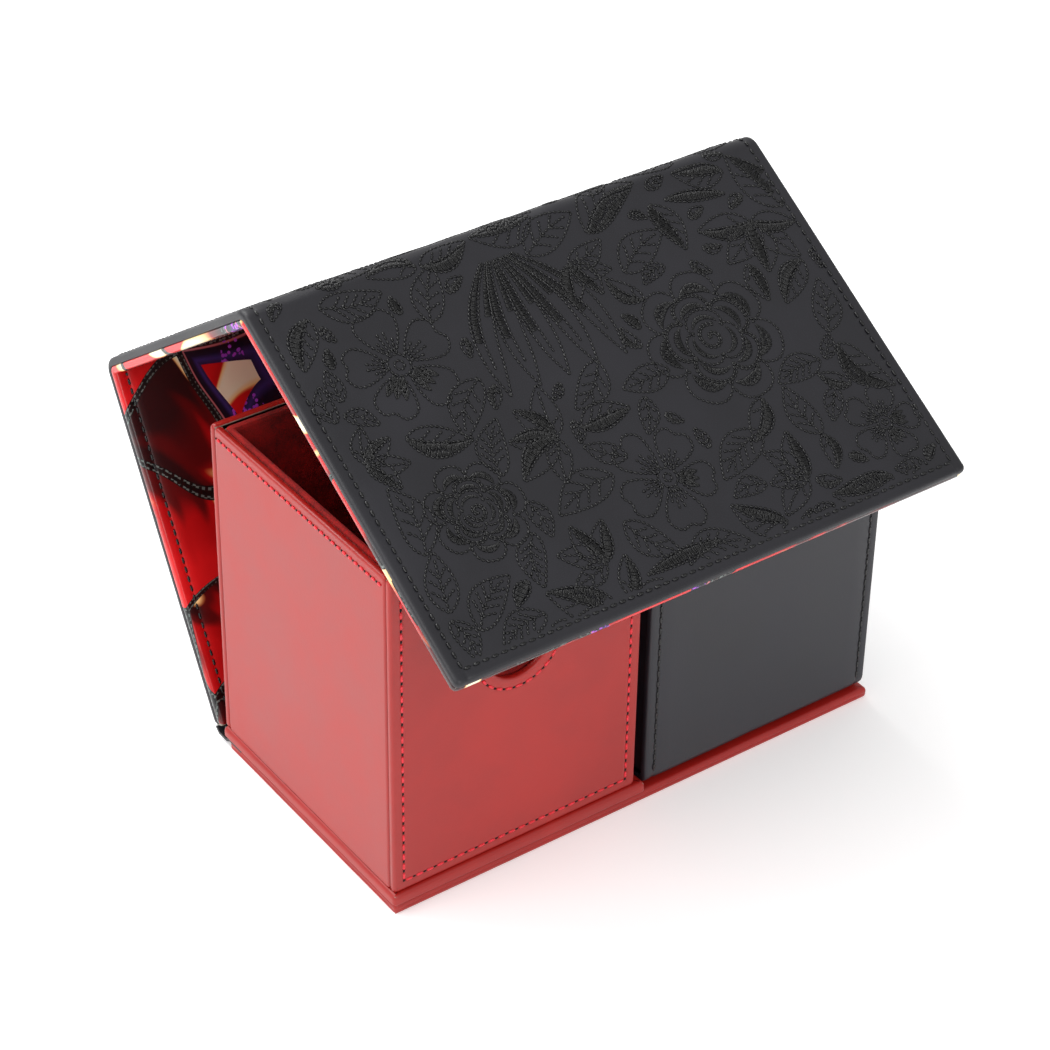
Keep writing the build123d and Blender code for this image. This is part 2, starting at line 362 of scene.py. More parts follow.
@dataclass(frozen=True)
class Plain:
    """A plain fibrous or metal finish: board and magnets, which mostly stay hidden, and the painted shade
    inside needle holes.
    """

    name: str
    colour: str
    light_colour: str
    roughness: float
    metallic: float = 0.0
    grain_mm: float = 1.0

    def build(self) -> Material:
        """Makes the material: a mottled colour with a matching fine bump."""
        material, tree, shader = new_material(self.name)
        add = partial(add_node, tree)
        place = add("ShaderNodeTexCoord").outputs["Object"]
        mottle = add("ShaderNodeTexNoise", {"Scale": 1.0 / (self.grain_mm * MM), "Detail": 5.0}, Vector=place)
        stops = [(0.35, self.colour), (0.7, self.light_colour)]
        set_base(tree, shader, ramp(tree, mottle.outputs["Fac"], stops))
        bump = add("ShaderNodeBump", {"Strength": 0.4, "Distance": 0.04 * MM}, Height=mottle.outputs["Fac"])
        tree.links.new(bump.outputs["Normal"], shader.inputs["Normal"])
        shader.inputs["Roughness"].default_value = self.roughness
        shader.inputs["Metallic"].default_value = self.metallic
        return material


@dataclass(frozen=True)
class Microfibre:
    """Brushed microfibre suede: short dense pile that looks darker where it is combed flat."""

    name: str
    colour: str
    light_colour: str

    def build(self) -> Material:
        """Makes the material: streaky pile, a soft fuzz bump and a sheen at grazing angles."""
        material, tree, shader = new_material(self.name)
        add = partial(add_node, tree)
        place = add("ShaderNodeTexCoord").outputs["Object"]
        nap = add("ShaderNodeTexNoise", {"Scale": 110.0, "Detail": 6.0, "Roughness": 0.75}, Vector=place)
        fuzz = add("ShaderNodeTexNoise", {"Scale": 2200.0, "Detail": 2.0}, Vector=place)
        total = add(
            "ShaderNodeMath",
            {"operation": "MULTIPLY_ADD", 1: 0.5},
            in0=fuzz.outputs["Fac"],
            in2=nap.outputs["Fac"],
        )
        set_base(tree, shader, ramp(tree, total.outputs[0], [(0.55, self.colour), (0.95, self.light_colour)]))
        bump = add("ShaderNodeBump", {"Strength": 0.9, "Distance": 0.12 * MM}, Height=total.outputs[0])
        tree.links.new(bump.outputs["Normal"], shader.inputs["Normal"])
        shader.inputs["Roughness"].default_value = 0.95
        shader.inputs["Sheen Weight"].default_value = 0.12
        shader.inputs["Sheen Roughness"].default_value = 0.3
        shader.inputs["Sheen Tint"].default_value = linear("FF3A30" if "red" in self.name else "808088")
        return material


class Finish(Enum):
    """The box's finishes, each with the recipe that builds it."""

    RED_LEATHERETTE = Leatherette("red_leatherette", "961610", "A21C15", 0.38)
    BLACK_LEATHERETTE = Leatherette("black_leatherette", "121117", "16151C", 0.46)
    BLACK_WALL = Leatherette("black_wall_leatherette", "19191F", "202027", 0.46)
    RED_MICROFIBRE = Microfibre("red_microfibre", "4C0404", "AE1410")
    BLACK_MICROFIBRE = Microfibre("black_microfibre", "0C0C0E", "1A1A1D")
    RED_THREAD = Thread("red_thread", "D00818", "F03048")
    BLACK_THREAD = Thread("black_thread", "010102", "060607", 0.24)
    # Painted shade: near-black lenses that stand for the shadow inside each needle hole
    NEEDLE_HOLE = Plain("needle_hole_shade", "050505", "0C0606", 0.95)
    GREYBOARD = Plain("greyboard", "8C8479", "A39B8E", 0.9, grain_mm=2.0)
    MAGNET = Plain("magnet", "9A9A9E", "B4B4B8", 0.3, metallic=1.0, grain_mm=0.6)


class Wardrobe:
    """Builds each finish once and hands it out."""

    def __init__(self) -> None:
        """Starts with nothing built."""
        self._made: dict[Finish, Material] = {}

    def get(self, finish: Finish) -> Material:
        """Returns a finish's material, built at its first use."""
        if finish not in self._made:
            self._made[finish] = finish.value.build()
        return self._made[finish]


@dataclass(frozen=True)
class PrintedLining:
    """Polyurethane leatherette with a heat-transfer print: abstract red panels, dark shadows and seams."""

    name: str
    cell_mm: float = 42.0
    seam_mm: float = 2.5
    uv_mm: float = 100.0

    def build(self) -> Material:
        """Makes the material: printed panels, dark fans, violet bands, cream flares and a glossy topcoat."""
        material, tree, shader = new_material(self.name)
        add = partial(add_node, tree)
        uv = add("ShaderNodeUVMap", {"uv_map": "flat"}).outputs["UV"]
        place = add("ShaderNodeMapping", {"Location": (0.06, 0.13, 0.0)}, Vector=uv).outputs["Vector"]
        per_mm = self.uv_mm / self.cell_mm

        # Bend the panel edges so that no seam is a straight line
        wobble = add("ShaderNodeTexNoise", {"Scale": 3.0, "Detail": 0.0}, Vector=place)
        shift = add(
            "ShaderNodeVectorMath", {"operation": "SCALE", "Scale": 0.36}, in0=wobble.outputs["Color"]
        )
        bent = add(
            "ShaderNodeVectorMath", {"operation": "ADD"}, in0=place, in1=shift.outputs["Vector"]
        ).outputs["Vector"]
        panel = add(
            "ShaderNodeTexVoronoi", {"feature": "DISTANCE_TO_EDGE", "Scale": per_mm}, Vector=bent
        ).outputs["Distance"]
        which = add("ShaderNodeTexVoronoi", {"feature": "F1", "Scale": per_mm}, Vector=bent)
        tint = add("ShaderNodeSeparateColor", in0=which.outputs["Color"])

        # Each panel has its own direction, measured from its middle
        local = add(
            "ShaderNodeVectorMath", {"operation": "SUBTRACT"}, in0=bent, in1=which.outputs["Position"]
        )
        angle = add("ShaderNodeMath", {"operation": "MULTIPLY_ADD", 1: 2.2, 2: 0.5}, in0=tint.outputs[2])
        turned = add(
            "ShaderNodeVectorRotate",
            {"rotation_type": "Z_AXIS"},
            Vector=local.outputs[0],
            Angle=angle.outputs[0],
        ).outputs["Vector"]
        own = add(
            "ShaderNodeVectorMath", {"operation": "ADD"}, in0=turned, in1=which.outputs["Color"]
        ).outputs["Vector"]

        # Red panels, dark at one end, with soft dark fingers that reach into the red
        along = add("ShaderNodeSeparateXYZ", in0=turned)
        finger_place = add("ShaderNodeMapping", {"Scale": (1.2, 15.0, 1.0)}, Vector=own).outputs["Vector"]
        finger = add(
            "ShaderNodeTexNoise", {"Scale": 1.0, "Detail": 1.0, "Roughness": 0.4}, Vector=finger_place
        )
        fade = add(
            "ShaderNodeMath",
            {"operation": "MULTIPLY_ADD", 1: 1.9},
            in0=along.outputs["X"],
            in2=finger.outputs["Fac"],
        )
        panel_shade = add(
            "ShaderNodeMath",
            {"operation": "MULTIPLY_ADD", 1: 0.3},
            in0=tint.outputs[0],
            in2=fade.outputs[0],
        )
        red = ramp(
            tree,
            panel_shade.outputs[0],
            [(0.26, "2A0C0E"), (0.42, "5C0A0C"), (0.56, "C00E12"), (0.90, "E0181C")],
            ease=True,
        )

        # Cream flares: short broad highlights of the print, warm at their rims
        flare_place = add(
            "ShaderNodeMapping", {"Location": (0.3, 0.7, 0.0), "Scale": (2.6, 11.0, 1.0)}, Vector=own
        ).outputs["Vector"]
        flare = add("ShaderNodeTexNoise", {"Scale": 1.0, "Detail": 0.0}, Vector=flare_place)
        flare_mask = add(
            "ShaderNodeMapRange",
            {"From Min": 0.66, "From Max": 0.70},
            Value=flare.outputs["Fac"],
        ).outputs["Result"]
        cream = ramp(tree, flare.outputs["Fac"], [(0.66, "F0702E"), (0.70, "FFD58C"), (0.76, "FFF6D6")])
        painted = self._mix(tree, flare_mask, red, cream)

        # Beside the seams of some panels: a thin pink line, then a dark band that turns violet
        chosen = add("ShaderNodeMath", {"operation": "GREATER_THAN", 1: 0.6}, in0=tint.outputs[1])
        edge = self.seam_mm / self.cell_mm * 0.5
        band = self._between(tree, panel, edge, edge * 4.6, chosen.outputs[0])
        near = add(
            "ShaderNodeMapRange", {"From Min": edge, "From Max": edge * 4.6}, Value=panel
        ).outputs["Result"]
        violet = ramp(
            tree,
            near,
            [
                (0.0, "0A0A0E"),
                (0.06, "D0787C"),
                (0.13, "B0606A"),
                (0.17, "0D0D16"),
                (0.5, "16122A"),
                (0.75, "3E2E72"),
                (0.95, "2A1E48"),
            ],
        )
        painted = self._mix(tree, band, painted, violet)

        # Magenta specks scattered on some of the bands
        speck = add("ShaderNodeTexVoronoi", {"feature": "F1", "Scale": 78.0}, Vector=place)
        dot = add("ShaderNodeMath", {"operation": "LESS_THAN", 1: 0.42}, in0=speck.outputs["Distance"])
        patch = add("ShaderNodeTexNoise", {"Scale": 3.1, "Detail": 0.0}, Vector=place)
        gate = add("ShaderNodeMath", {"operation": "GREATER_THAN", 1: 0.55}, in0=patch.outputs["Fac"])
        both = add("ShaderNodeMath", {"operation": "MULTIPLY"}, in0=dot.outputs[0], in1=gate.outputs[0])
        on_band = add("ShaderNodeMath", {"operation": "MULTIPLY"}, in0=both.outputs[0], in1=band)
        painted = self._mix(tree, on_band.outputs[0], painted, linear("B04AD8"))

        # Black seams with two rows of grey printed stitches
        seam = self._between(tree, panel, -1.0, edge, None)
        painted = self._mix(tree, seam, painted, linear("08090A"))
        slant = add("ShaderNodeMapping", {"Rotation": (0.0, 0.0, 0.42)}, Vector=place).outputs["Vector"]
        tick = add("ShaderNodeTexChecker", {"Scale": self.uv_mm / 0.95}, Vector=slant)
        inner = self._between(tree, panel, edge * 0.38, edge * 0.8, None)
        on_seam = add("ShaderNodeMath", {"operation": "MULTIPLY"}, in0=tick.outputs["Fac"], in1=inner)
        painted = self._mix(tree, on_seam.outputs[0], painted, linear("66706C"))
        set_base(tree, shader, painted)

        body = add("ShaderNodeTexCoord").outputs["Object"]
        pore = add("ShaderNodeTexNoise", {"Scale": 2400.0, "Detail": 3.0}, Vector=body)
        bump = add("ShaderNodeBump", {"Strength": 0.3, "Distance": 0.03 * MM}, Height=pore.outputs["Fac"])
        tree.links.new(bump.outputs["Normal"], shader.inputs["Normal"])
        shader.inputs["Roughness"].default_value = 0.32
        shader.inputs["Coat Weight"].default_value = 0.2
        shader.inputs["Coat Roughness"].default_value = 0.18
        return material

    @staticmethod
    def _mix(
        tree: Tree,
        factor: Socket,
        below: Socket | tuple,
        above: Socket | tuple,
    ) -> Socket:
        """Lays one colour over another by a mask; each colour is an output or linear values."""
        node = add_node(tree, "ShaderNodeMix", {"data_type": "RGBA"})
        tree.links.new(factor, node.inputs[0])
        for socket, colour in ((node.inputs[6], below), (node.inputs[7], above)):
            if isinstance(colour, tuple):
                socket.default_value = colour
            else:
                tree.links.new(colour, socket)
        return node.outputs[2]

    @staticmethod
    def _between(
        tree: Tree, value: Socket, low: float, high: float, gate: Socket | None
    ) -> Socket:
        """Gives 1 where a value lies between two limits, and 0 elsewhere or where the gate is shut."""
        maths = partial(add_node, tree, "ShaderNodeMath")
        over = maths({"operation": "GREATER_THAN", 1: low}, in0=value)
        under = maths({"operation": "LESS_THAN", 1: high}, in0=value)
        both = maths({"operation": "MULTIPLY"}, in0=over.outputs[0], in1=under.outputs[0])
        if gate is None:
            return both.outputs[0]
        return maths({"operation": "MULTIPLY"}, in0=both.outputs[0], in1=gate).outputs[0]


# --- The cover's line ------------------------------------------------------------------------------------


@dataclass(frozen=True)
class Stitch:
    """One visible thread between two needle holes, on a flat pattern in millimetres."""

    start: Vector
    end: Vector
    width: float


class Span(Enum):
    """The five stretches of the cover, from its foot at the back to the tip of the flap."""

    BACK = "back"
    EAVE = "eave"
    TOP = "top"
    RIDGE = "ridge"
    FLAP = "flap"


class CoverPath:
    """The cover in side view: three straight runs joined by two bends, read from the frame.

    Points are given flat: x along the box, s along the cover from the middle of the ridge and positive
    down the flap, and n outwards from the lining's face, all in millimetres.
    """

    thick = 4.6
    clear = 0.5
    folds = (Span.EAVE, Span.RIDGE)

    def __init__(self, frame: dict) -> None:
        """Reads the fold axes and the flap's slope.
        """
        joints = (joint for joint in frame["joints"] if "pos_m" in joint)
        pins = {joint["name"]: Vector(joint["pos_m"][1:]) / MM for joint in joints}
        self.back_pin, self.eave_pin, self.ridge_pin = (
            pins["cover_back_fold"],
            pins["cover_eave_fold"],
            pins["cover_ridge_fold"],
        )
        board = frame["nodes"]["cover_flap_outer_board"].data
        widest = max(board.polygons, key=lambda face: face.area).normal
        facing = Vector(widest[1:]).normalized()
        facing = facing if facing[1] > 0 else -facing
        self.flap_run = Vector((-facing[1], facing[0]))
        wrap = frame["nodes"]["cover_flap_wrap"].data
        reaches = (Vector(v.co[1:]) / MM - self.ridge_pin for v in wrap.vertices)
        self.flap_length = max(reach.dot(self.flap_run) for reach in reaches)
        self.back_run = (self.eave_pin - self.back_pin).normalized()
        self.top_run = (self.ridge_pin - self.eave_pin).normalized()
        self.angles = [math.atan2(-run[0], run[1]) for run in (self.back_run, self.top_run, self.flap_run)]
        self.ridge_half = self.thick * (self.angles[2] - self.angles[1]) / 2
        eave_arc = self.thick * (self.angles[1] - self.angles[0])
        marks = [-self.ridge_half - (self.ridge_pin - self.eave_pin).length]
        marks = [marks[0] - eave_arc, *marks]
        marks = [marks[0] - (self.eave_pin - self.back_pin).length, *marks]
        marks += [-self.ridge_half, self.ridge_half, self.ridge_half + self.flap_length]
        self.bends = dict(zip(Span, zip(marks, marks[1:])))
        # Panels stop just short of a bend to have room to turn, and the fold's strip fills the rest
        joins = [mark + way * self.clear for mark, way in zip(marks, (1, -1, 1, -1, 1, 0))]
        self.ends = dict(zip(Span, zip(joins, joins[1:])))

    def span_at(self, s: float) -> Span:
        """Tells which stretch's piece covers a place along the cover."""
        return next((span for span, (_, high) in self.ends.items() if s <= high), Span.FLAP)

    def place(self, x: float, s: float, n: float) -> Vector:
        """Turns a flat point to its place on the propped cover.

        Args:
            x: Millimetres along the box.
            s: Millimetres along the cover.
            n: Millimetres outwards from the lining's face.

        Returns:
            The point in metres.
        """
        span = next((span for span, (_, high) in self.bends.items() if s <= high), Span.FLAP)
        low, high = self.bends[span]
        if span in self.folds:
            first = 0 if span is Span.EAVE else 1
            one, two = self.angles[first : first + 2]
            turn = one + (two - one) * (s - low) / (high - low)
            pin = self.eave_pin if span is Span.EAVE else self.ridge_pin
            spot = pin + Vector((math.cos(turn), math.sin(turn))) * n
        else:
            pin, run, start = {
                Span.BACK: (self.eave_pin, self.back_run, high),
                Span.TOP: (self.ridge_pin, self.top_run, high),
                Span.FLAP: (self.ridge_pin, self.flap_run, low),
            }[span]
            spot = pin + run * (s - start) + Vector((run[1], -run[0])) * n
        return Vector((x, spot[0], spot[1])) * MM

    def attach(self, piece: Piece, span: Span, n: float) -> None:
        """Makes a piece follow its panel; a piece that lies on a fold only has its place baked into its mesh.

        Args:
            piece: A finished mesh with no parent.
            span: The stretch it lies on.
            n: How far out it lies; not used.
        """
        if span in self.folds:
            low, high = self.bends[span]
            tuple(self.place(0, low, n))
            tuple(self.place(0, high, n))
            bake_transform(piece)
        else:
            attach(piece, f"cover_{span.value}")

    def share(self, stitches: Iterable[Stitch]) -> dict[Span, list[Stitch]]:
        """Deals threads out to the stretches: cut where one piece meets the next, and short over a fold.

        Args:
            stitches: Stitches on the flat cover.

        Returns:
            Each stretch's own stitches.
        """
        out: dict[Span, list[Stitch]] = {span: [] for span in Span}
        joins = [high for _, high in self.ends.values()][:-1]
        for stitch in stitches:
            a, b = stitch.start, stitch.end
            crossed = sorted((j - a[1]) / (b[1] - a[1]) for j in joins if (j - a[1]) * (j - b[1]) < 0)
            cuts = [0.0, *crossed, 1.0]
            for p, q in ((a.lerp(b, low), a.lerp(b, high)) for low, high in zip(cuts, cuts[1:])):
                span = self.span_at((p[1] + q[1]) / 2)
                parts = max(1, round((q - p).length / FOLD_THREAD_MM)) if span in self.folds else 1
                marks = [p.lerp(q, k / parts) for k in range(parts + 1)]
                threads = [Stitch(m, n, stitch.width) for m, n in zip(marks, marks[1:])]
                out[span] += [t for t in threads if (t.end - t.start).length > SHORTEST_THREAD_MM]
        return out


# --- Sewing ----------------------------------------------------------------------------------------------


Place = Callable[[float, float, float], Vector]


def thread_piece(
    name: str,
    stitches: Sequence[Stitch],
    place: Place,
    lift: float,
    height: float,
    material: Material,
    sides: int = THREAD_SIDES,
) -> Piece:
    """Makes one piece from many stitches, each a small closed lens of thread.

    Args:
        name: The piece's name.
        stitches: The stitches on the flat pattern.
        place: Turns flat x, y and height to a point in metres.
        lift: The height of the surface, in millimetres.
        height: How far a thread stands above its middle, in millimetres.
        material: The thread.
        sides: How many sides a thread has.

    Returns:
        The new piece.
    """
    lens = bmesh.new()
    bmesh.ops.create_uvsphere(lens, u_segments=sides, v_segments=3, radius=1.0)
    template = bpy.data.meshes.new("thread_template")
    lens.to_mesh(template)
    lens.free()
    rest = [c for v in template.vertices for c in v.co]
    bm = bmesh.new()
    for stitch in stitches:
        ends = [place(p[0], p[1], lift) for p in (stitch.start, stitch.end)]
        middle = (stitch.start + stitch.end) / 2
        centre = place(middle[0], middle[1], lift)
        up = (place(middle[0], middle[1], lift + 1.0) - centre).normalized() * (1 if height > 0 else -1)
        along = ends[1] - ends[0]
        side = up.cross(along).normalized()
        up = along.cross(side).normalized()
        frame = Matrix((side * stitch.width / 2 * MM, up * abs(height) * MM, along / 2)).transposed().to_4x4()
        frame.translation = centre
        template.vertices.foreach_set("co", rest)
        template.transform(frame)
        bm.from_mesh(template)
    bpy.data.meshes.remove(template)
    return mesh_piece(name, bm, material, sharp_deg=180.0)


@dataclass
class Embroidery:
    """A floral pattern in one colour of thread, laid out flat on the cover in millimetres."""

    run_pitch: float = 1.3
    satin_pitch: float = 0.38
    thread: float = 0.5
    stitches: list[Stitch] = field(default_factory=list)
    dice: random.Random = field(default_factory=lambda: random.Random(7))

    def run(self, points: Sequence[Flat], twice: bool = False) -> None:
        """Sews a running stitch along a smooth line.

        Args:
            points: The line's guide points.
            twice: True for a second row just beside the first.
        """
        for offset in (0.0, 0.55) if twice else (0.0,):
            line = smooth_curve(points, self.run_pitch)
            for a, b in zip(line, line[1:]):
                along = (b - a).normalized()
                nudge = Vector((-along[1], along[0])) * offset
                start, end = a + nudge + along * 0.04, b + nudge - along * 0.04
                self.stitches.append(Stitch(start, end, self.thread * self.dice.uniform(1.5, 1.9)))

    def satin(self, left: Sequence[Flat], right: Sequence[Flat], longest: float = 6.0) -> None:
        """Fills between two lines with threads that cross from one to the other.

        Args:
            left: Guide points of one side.
            right: Guide points of the other side, in the same direction.
            longest: Threads longer than this are split at uneven places, in millimetres.
        """
        one, two = smooth_curve(left, 0.3), smooth_curve(right, 0.3)
        length = max(sum((b - a).length for a, b in zip(side, side[1:])) for side in (one, two))
        count = max(2, round(length / self.satin_pitch))
        for i in range(count + 1):
            t = i / count
            a = one[round(t * (len(one) - 1))]
            b = two[round(t * (len(two) - 1))]
            span = (b - a).length
            if span < 0.35:
                continue
            cuts = max(1, math.ceil(span / longest))
            marks = [0.0]
            for k in range(1, cuts):
                marks.append((k + self.dice.uniform(-0.32, 0.32)) / cuts)
            marks.append(1.0)
            for low, high in zip(marks, marks[1:]):
                width = self.thread * self.dice.uniform(0.9, 1.15)
                self.stitches.append(Stitch(a.lerp(b, low), a.lerp(b, high), width))

    def lens(self, start: Flat, end: Flat, near: float, far: float, longest: float = 6.0) -> None:
        """Sews a filled crescent or lens between two points, with an outline.

        Args:
            start: One tip.
            end: The other tip.
            near: How far one side bulges from the straight line, in millimetres.
            far: The same for the other side; the same sign gives a crescent.
            longest: The longest thread.
        """
        a, b = Vector(start), Vector(end)
        side = Vector((a[1] - b[1], b[0] - a[0])).normalized()
        steps = (0, 0.15, 0.3, 0.5, 0.7, 0.85, 1)
        sides = [
            [tuple(a.lerp(b, t) + side * bulge * math.sin(math.pi * t) ** 0.85) for t in steps]
            for bulge in (near, far)
        ]
        self.satin(sides[0], sides[1], longest)
        for line in sides:
            self.run(line)

    def leaf(
        self,
        base: Flat,
        tip: Flat,
        width: float,
        bend: float = 0.1,
        veins: int = 0,
        fill: int = 0,
    ) -> None:
        """Sews a leaf outline with a midrib, and if wanted veins or a filled half.

        Args:
            base: Where it leaves its stem.
            tip: Its point.
            width: Its greatest width, in millimetres.
            bend: How much it curves sideways, as a share of its length.
            veins: Pairs of side veins.
            fill: 1 or -1 to fill one half with satin, 2 for the whole.
        """
        a, b = Vector(base), Vector(tip)
        axis = b - a
        side = Vector((-axis[1], axis[0])).normalized()

        def at(t: float, across: float) -> Flat:
            """Gives a point t along the leaf and across of its half width to one side."""
            middle = a + axis * t + side * bend * axis.length * math.sin(math.pi * t)
            spread = width / 2 * math.sin(math.pi * t**0.8) ** 0.9 if 0 < t < 1 else 0.0
            return tuple(middle + side * spread * across)

        steps = (0, 0.12, 0.3, 0.5, 0.7, 0.88, 1)
        edges = {sign: [at(t, sign) for t in steps] for sign in (1, -1)}
        rib = [at(t, 0) for t in steps]
        for edge in edges.values():
            self.run(edge)
        if fill == 2:
            self.satin(edges[1], edges[-1], 5.0)
        else:
            self.run(rib[:-1])
        if fill in (1, -1):
            self.satin(rib, edges[fill], 4.0)
        for k in range(veins):
            t = 0.2 + 0.55 * k / max(1, veins)
            for sign in (1, -1):
                self.run([at(t, 0), at(t + 0.1, 0.42 * sign), at(t + 0.17, 0.78 * sign)])

    def spray(self, centre: Flat, reach: float, count: int, turn: float, spread: float) -> None:
        """Sews a spray of leaves from one point.

        Args:
            centre: Where the leaves meet.
            reach: Their length.
            count: How many leaves.
            turn: The first leaf's direction, in radians.
            spread: The angle between leaves, in radians.
        """
        for k in range(count):
            angle = turn + k * spread
            length = reach * self.dice.uniform(0.8, 1.1)
            tip = (centre[0] + length * math.cos(angle), centre[1] + length * math.sin(angle))
            style = self.dice.choice(((2, 0), (2, 0), (1, 0), (0, 1), (1, -1)))
            self.leaf(centre, tip, length * 0.5, self.dice.uniform(-0.1, 0.1), *style)

    def fill_gaps(
        self, low: Flat, high: Flat, bare: Sequence[tuple[float, float, float]], tries: int = 7000
    ) -> None:
        """Sews small leaves wherever the pattern leaves too much bare leather.

        Args:
            low: The lower corner of the area.
            high: Its upper corner.
            bare: Circles that stay bare, each as x, y and radius.
            tries: How many places are tried.
        """
        cell = 1.7

        def cell_of(point: Vector) -> tuple[int, int]:
            """Tells which cell a point lies in."""
            return int(point[0] // cell), int(point[1] // cell)

        used = {cell_of(p) for s in self.stitches for p in (s.start, s.end)}
        sizes = ((15, 24), (9, 15), (5.5, 9))
        for attempt in range(tries):
            reach = self.dice.uniform(*sizes[attempt * len(sizes) // tries])
            angle = self.dice.uniform(0, math.tau)
            base = Vector((self.dice.uniform(low[0], high[0]), self.dice.uniform(low[1], high[1])))
            axis = Vector((math.cos(angle), math.sin(angle)))
            tip = base + axis * reach
            if not (low[0] < tip[0] < high[0] and low[1] < tip[1] < high[1]):
                continue
            side = Vector((-axis[1], axis[0])) * reach * 0.2
            spots = [base.lerp(tip, t) + side * w for t in (0.1, 0.3, 0.5, 0.7, 0.9) for w in (-1, 0, 1)]
            if sum(cell_of(q) in used for q in spots) > 1:
                continue
            if any(math.dist(q, (x, y)) < r for q in spots for x, y, r in bare):
                continue
            first = len(self.stitches)
            small, large = ((2, 0), (2, 0), (3, 0), (1, 1), (1, -1), (0, 2)), ((3, 0), (4, 0), (3, 1))
            style = self.dice.choice(small if reach < 15 else large)
            self.leaf(tuple(base), tuple(tip), reach * 0.5, self.dice.uniform(-0.14, 0.14), *style)
            used |= {cell_of(p) for s in self.stitches[first:] for p in (s.start, s.end)}

    def flower(self, centre: Flat, radius: float, petals: int, turn: float, filled: int = 0) -> None:
        """Sews an open flower: lobed petals, rays on each petal, and a ringed centre.

        Args:
            centre: Its middle.
            radius: The petals' length from the middle.
            petals: How many petals.
            turn: The first petal's direction, in radians.
            filled: How many petals, from the first, get satin at their root.
        """
        hub = Vector(centre)

        def polar(angle: float, reach: float) -> Flat:
            """Gives a point at an angle and a distance from the middle."""
            return tuple(hub + Vector((math.cos(angle), math.sin(angle))) * reach)

        core = radius * 0.2
        self.run([polar(k * math.tau / 8, core) for k in range(9)])
        self.run([polar(k * math.tau / 6, core * 0.45) for k in range(7)])
        half = math.pi / petals
        for i in range(petals):
            mid = turn + i * 2 * half
            size = radius * self.dice.uniform(0.9, 1.08)
            self.run(
                [
                    polar(mid - half * 0.45, core),
                    polar(mid - half * 0.82, size * 0.55),
                    polar(mid - half * 0.7, size * 0.88),
                    polar(mid - half * 0.3, size * 1.02),
                    polar(mid, size * 0.93),
                    polar(mid + half * 0.3, size * 1.02),
                    polar(mid + half * 0.7, size * 0.88),
                    polar(mid + half * 0.82, size * 0.55),
                    polar(mid + half * 0.45, core),
                ]
            )
            if i < filled:
                self.satin(
                    [polar(mid - half * 0.5 + half * k / 6, core * 1.1) for k in range(7)],
                    [polar(mid + half * (0.2 * k - 0.6), size * (0.55 + 0.13 * (k % 2))) for k in range(7)],
                    2.4,
                )
            else:
                for k in (-0.4, -0.13, 0.13, 0.4):
                    reach = size * (0.62 if abs(k) < 0.2 else 0.5)
                    self.run([polar(mid + half * k, core * 1.15), polar(mid + half * k * 1.2, reach)])

    def plume(self, base: Flat, tip: Flat, width: float, bend: float) -> None:
        """Sews one long narrow petal with threads down its root, as in a lily or a bud.

        Args:
            base: Its root.
            tip: Its point.
            width: Its greatest width.
            bend: How much it curves sideways, as a share of its length.
        """
        a, b = Vector(base), Vector(tip)
        axis = b - a
        side = Vector((-axis[1], axis[0])).normalized()
        steps = (0, 0.2, 0.4, 0.6, 0.8, 1)

        def edge(across: float) -> list[Flat]:
            """Gives one lengthwise line of the petal."""
            out = []
            for t in steps:
                spread = width / 2 * math.sin(math.pi * min(1.0, t * 0.85 + 0.08)) if t < 1 else 0.0
                sway = bend * axis.length * math.sin(math.pi * t)
                out.append(tuple(a + axis * t + side * (sway + spread * across)))
            return out

        self.run(edge(1.0))
        self.run(edge(-1.0))
        self.run(edge(0.15)[:-1])
        self.satin(edge(0.95)[:4], edge(0.25)[:4], 3.0)
        self.satin(edge(-0.3)[:3], edge(-0.9)[:3], 3.0)

    def rose(self, centre: Flat, size: float = 1.0, turn: float = 0.0) -> None:
        """Sews a round rosette: a coiled heart inside rings of overlapping petals, each with a satin root.

        Args:
            centre: Its heart.
            size: 1 for a rosette about 44 mm across.
            turn: How far it is turned, in radians.
        """
        hub = Vector(centre)

        def polar(angle: float, reach: float) -> Flat:
            """Gives a point at an angle and a distance from the heart."""
            return tuple(hub + Vector((math.cos(turn + angle), math.sin(turn + angle))) * reach * size)

        self.run([polar(0.75 * k, 0.8 + 0.36 * k) for k in range(13)], twice=True)
        across = (-1, -0.75, -0.5, -0.25, 0, 0.25, 0.5, 0.75, 1)
        for ring, (inner, outer, count) in enumerate(((5.5, 9.5, 3), (9.5, 15, 5), (14.5, 22, 7))):
            half = math.pi / count * 1.12
            for i in range(count):
                middle = 0.7 * ring + math.tau * i / count
                rim = [polar(middle + half * f, inner + (outer - inner) * (1 - abs(f) ** 3)) for f in across]
                self.run(rim, twice=ring == 1)
                root = [polar(middle + 0.75 * half * f, inner + 0.4) for f in across]
                rise = 0.5 * (outer - inner)
                lip = [polar(middle + 0.75 * half * f, inner + 0.4 + rise * (1 - f * f)) for f in across]
                self.satin(root, lip, 3.0)


